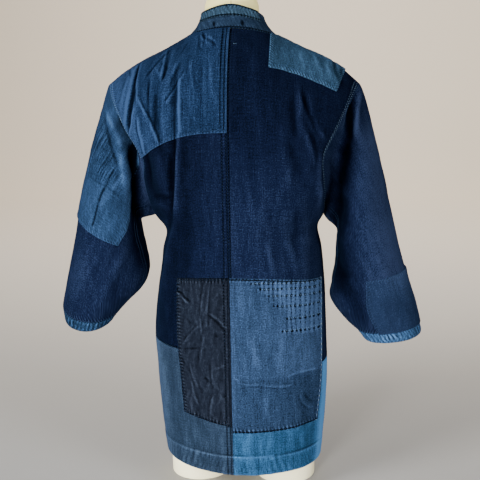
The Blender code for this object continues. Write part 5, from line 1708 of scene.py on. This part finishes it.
def make_form():
    """Torso and neck: ellipses with a fuller corner, one for each height; then two round stumps."""
    low, top, fine_from, neck_seam = FORM["height"][0], FORM["height"][-1], 0.876, 0.8835
    heights = np.unique(np.concatenate([np.linspace(low, top, 90), np.linspace(fine_from, top, 24)]))
    ring = read(FORM, heights, "height")
    angle = np.linspace(0, 2 * np.pi, 81)[:-1]
    out = corner(angle, ring["square"][:, None])
    depth = np.where(np.sin(angle) < 0, ring["back"][:, None], ring["front"][:, None])
    seam = 1 - 0.012 * bell(heights - neck_seam, 0.0012)[:, None]
    x = ring["half_width"][:, None] * np.cos(angle) * out * seam + ring["lean"][:, None]
    y = depth * np.sin(angle) * out * seam
    stacks = [np.stack([x, y, heights[:, None] + 0 * x], axis=2)]
    z = np.array([0, 0, 0.0008, 0.0022, 0.004, 0.03, 0.06, 0.09, STUMP_TOP])[:, None]
    wider = np.array([-4.0, -4.0, -1.2, -0.3, 0.0, 0.5, 1.0, 1.5, 2.0])[:, None] / 1000
    turn = np.linspace(0, 2 * np.pi, 97)[:-1]
    for side in (LEFT, RIGHT):
        x = side * STUMP_CENTRE + (STUMP_RADIUS + wider) * np.cos(turn)
        stacks.append(np.stack([x, (STUMP_RADIUS + wider) * np.sin(turn), z + 0 * x], axis=2))
    points, faces, start = [], [], 0
    for stack in stacks:
        part_points, part_faces = revolved(stack)
        points.append(part_points)
        faces.append(part_faces + start)
        start += len(part_points)
    points, faces = np.concatenate(points), np.concatenate(faces)
    form = piece("form_torso", points, faces, form_cover(), "form_cover")
    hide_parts("dress_form")


def make_stitches():
    """The thread of every sewn row, by colour, and the hand stitching on the lower blue patch."""
    rows = {colour: [] for colour in THREADS}
    for side in (LEFT, RIGHT):
        sleeve = cloths["sleeve_" + SIDE_NAMES[side]]
        for column in (0.462, 0.444):  # a double seam along the sleeve's low edge
            points, normals = sleeve.at(np.linspace(0.02, 0.98, 600), np.full(600, column))
            rows["dark"].append(threaded(points, normals, np.arange(2, 598, 5.0)))
    for cloth, edge, inset, wave, seed, colour, *part in seams:
        rows[colour].append(seam_row(cloth, edge, inset, wave, seed, *part))
    for name, colour, length, radius, slot, seed in (
        ("navy", "dark", 0.0030, 0.00036, "navy_twill", 5),
        ("blue", "blue", 0.0030, 0.00036, "patch_chambray", 7),
        ("pale", "pale", 0.0030, 0.00036, "patch_chambray", 9),
        ("white", "white", 0.0040, 0.00048, "patch_chambray", 13),
    ):
        stitches("stitches_" + name, rows[colour], length, radius, THREADS[colour], slot, seed)
    patch, column = cloths["patch_back_blue"], SASHIKO_COLUMN
    level = []
    for top, first in zip(SASHIKO_ROWS, SASHIKO_FIRST):
        x = np.arange(np.ceil(first / column), SASHIKO_LAST / column, 0.5) * column
        x, middle = x[:-1] + column / 4, len(patch.rows) // 2
        down = 1 - (top - SASHIKO_SLOPE * (x - SASHIKO_MIDDLE)) / patch.v[-1, 0]
        points, normals = patch.at(down, np.interp(x, patch.x[middle], patch.cols))
        level.append(threaded(points, normals, np.arange(len(x))))
    stitches("sashiko_rows", level, 0.0024, 0.00045, THREADS["pale"], "patch_chambray", 15)
    knot = real_row(cloths["back_right"], x0=0.0080, z0=0.822, x1=0.0135, z1=0.8225, spacing=0.0024)
    stitches("loose_stitch", [knot], 0.0026, 0.00045, THREADS["pale"], "navy_twill", 17)


for side in (LEFT, RIGHT):
    make_panels(side, SIDE_NAMES[side], CHARCOAL_EDGE if side == LEFT else BLUE_EDGE)
    make_front(side, SIDE_NAMES[side])
make_charcoal_patch()
make_blue_patch()
make_shoulder_patches()
for side in (LEFT, RIGHT):
    make_sleeve(side, SIDE_NAMES[side])
    make_cuff(side, SIDE_NAMES[side])
    make_sleeve_patch(side, SIDE_NAMES[side])
make_collar()
make_form()
make_stitches()


# ---------------------------------------------------------------- floor, light and camera
def make_stage():
    """A pale floor that sweeps up through a quarter round into a backdrop far behind the jacket."""
    strips, flat_end, bend_end = 40, 0.45, 0.65  # the last two are shares of the whole sweep
    near, far, radius, rise, half_width = -3.0, 3.0, 1.5, 5.0, 7.0
    t = np.linspace(0, 1, strips)
    turn = np.pi / 2 * np.clip((t - flat_end) / (bend_end - flat_end), 0, 1)
    y = np.where(t < flat_end, near + t / flat_end * (far - near), far + radius * np.sin(turn))
    wall = np.clip(t - bend_end, 0, 1) / (1 - bend_end) * rise
    z = np.where(t < flat_end, 0.0, radius * (1 - np.cos(turn)) + wall)
    x = np.array([-half_width, half_width])
    points = np.stack([x + 0 * y[:, None], 0 * x + y[:, None], 0 * x + z[:, None]], axis=2)
    faces = grid_faces(np.arange(2 * strips).reshape(strips, 2))
    mesh = bpy.data.meshes.new("floor")
    mesh.from_pydata(points.reshape(-1, 3).tolist(), [], faces.tolist())
    mesh.shade_smooth()
    paper = Finish("pale_floor", Roughness=0.95)
    # painted light: the paper darker grey near the camera, paler and warmer up the backdrop
    back = paper.parts(paper.place())[1].rise(-0.4, 3.2)
    paper.feed("Base Color", paper.mix(back, rgba(0.247, 0.252, 0.255), rgba(0.65, 0.55, 0.43)))
    mesh.materials.append(paper.material)
    floor = bpy.data.objects.new("floor", mesh)
    bpy.context.scene.collection.objects.link(floor)


def softbox(name, place, aim, size, watts, beam=180):
    """A square soft light that faces a point; beam is the angle that it opens to."""
    data = bpy.data.lights.new(name, "AREA")
    data.energy, data.size, data.spread = watts, size, np.radians(beam)
    light = bpy.data.objects.new(name, data)
    way = np.array(aim) - np.array(place)
    light.location = place
    light.rotation_euler = mathutils.Vector(way).to_track_quat("-Z", "Y").to_euler()
    bpy.context.scene.collection.objects.link(light)


def make_camera():
    """The camera stands behind the jacket, a little to the wearer's right, looks down by 12
    degrees, leans by about one and is shifted aside by a hair.
    """
    turn, dip, roll = np.radians(8), np.radians(12), 0.0192
    distance, height = 1.83, 0.85
    ahead = np.array([-np.sin(turn) * np.cos(dip), np.cos(turn) * np.cos(dip), -np.sin(dip)])
    right = np.array([np.cos(turn), np.sin(turn), 0])
    up = np.cross(right, ahead)
    image_right, image_up = right - roll * up, up + roll * right
    data = bpy.data.cameras.new("camera")
    data.lens, data.sensor_width, data.shift_x = 75, 36, 1 / 480
    camera = bpy.data.objects.new("camera", data)
    axes = np.stack([image_right, image_up, -ahead], axis=1)
    camera.matrix_world = mathutils.Matrix(axes.tolist()).to_4x4()
    camera.location = (
        np.sin(turn) * distance + CENTRE_SHIFT[0], -np.cos(turn) * distance + CENTRE_SHIFT[1], height
    )
    bpy.context.scene.collection.objects.link(camera)
    bpy.context.scene.camera = camera


make_stage()
softbox("key", place=(-2.1, -1.9, 2.1), aim=(0, 0, 0.5), size=1.1, watts=138)
softbox("fill", place=(2.3, -1.7, 1.8), aim=(0, 0, 0.5), size=1.1, watts=76)
softbox("backdrop_light", place=(0.0, 1.6, 3.2), aim=(0, 4.5, 1.2), size=2.5, watts=200)
softbox("low_light", place=(-0.4, -1.75, 0.32), aim=(0, -0.1, 0.05), size=0.4, watts=12, beam=80)
softbox("front_fill", place=(0.0, 2.4, 2.2), aim=(0, 0, 0.5), size=2.0, watts=20)
world = bpy.data.worlds.new("studio")
world.use_nodes = True
sky = world.node_tree.nodes["Background"].inputs
sky["Color"].default_value, sky["Strength"].default_value = rgba(0.62, 0.61, 0.58), 0.25
bpy.context.scene.world = world
make_camera()
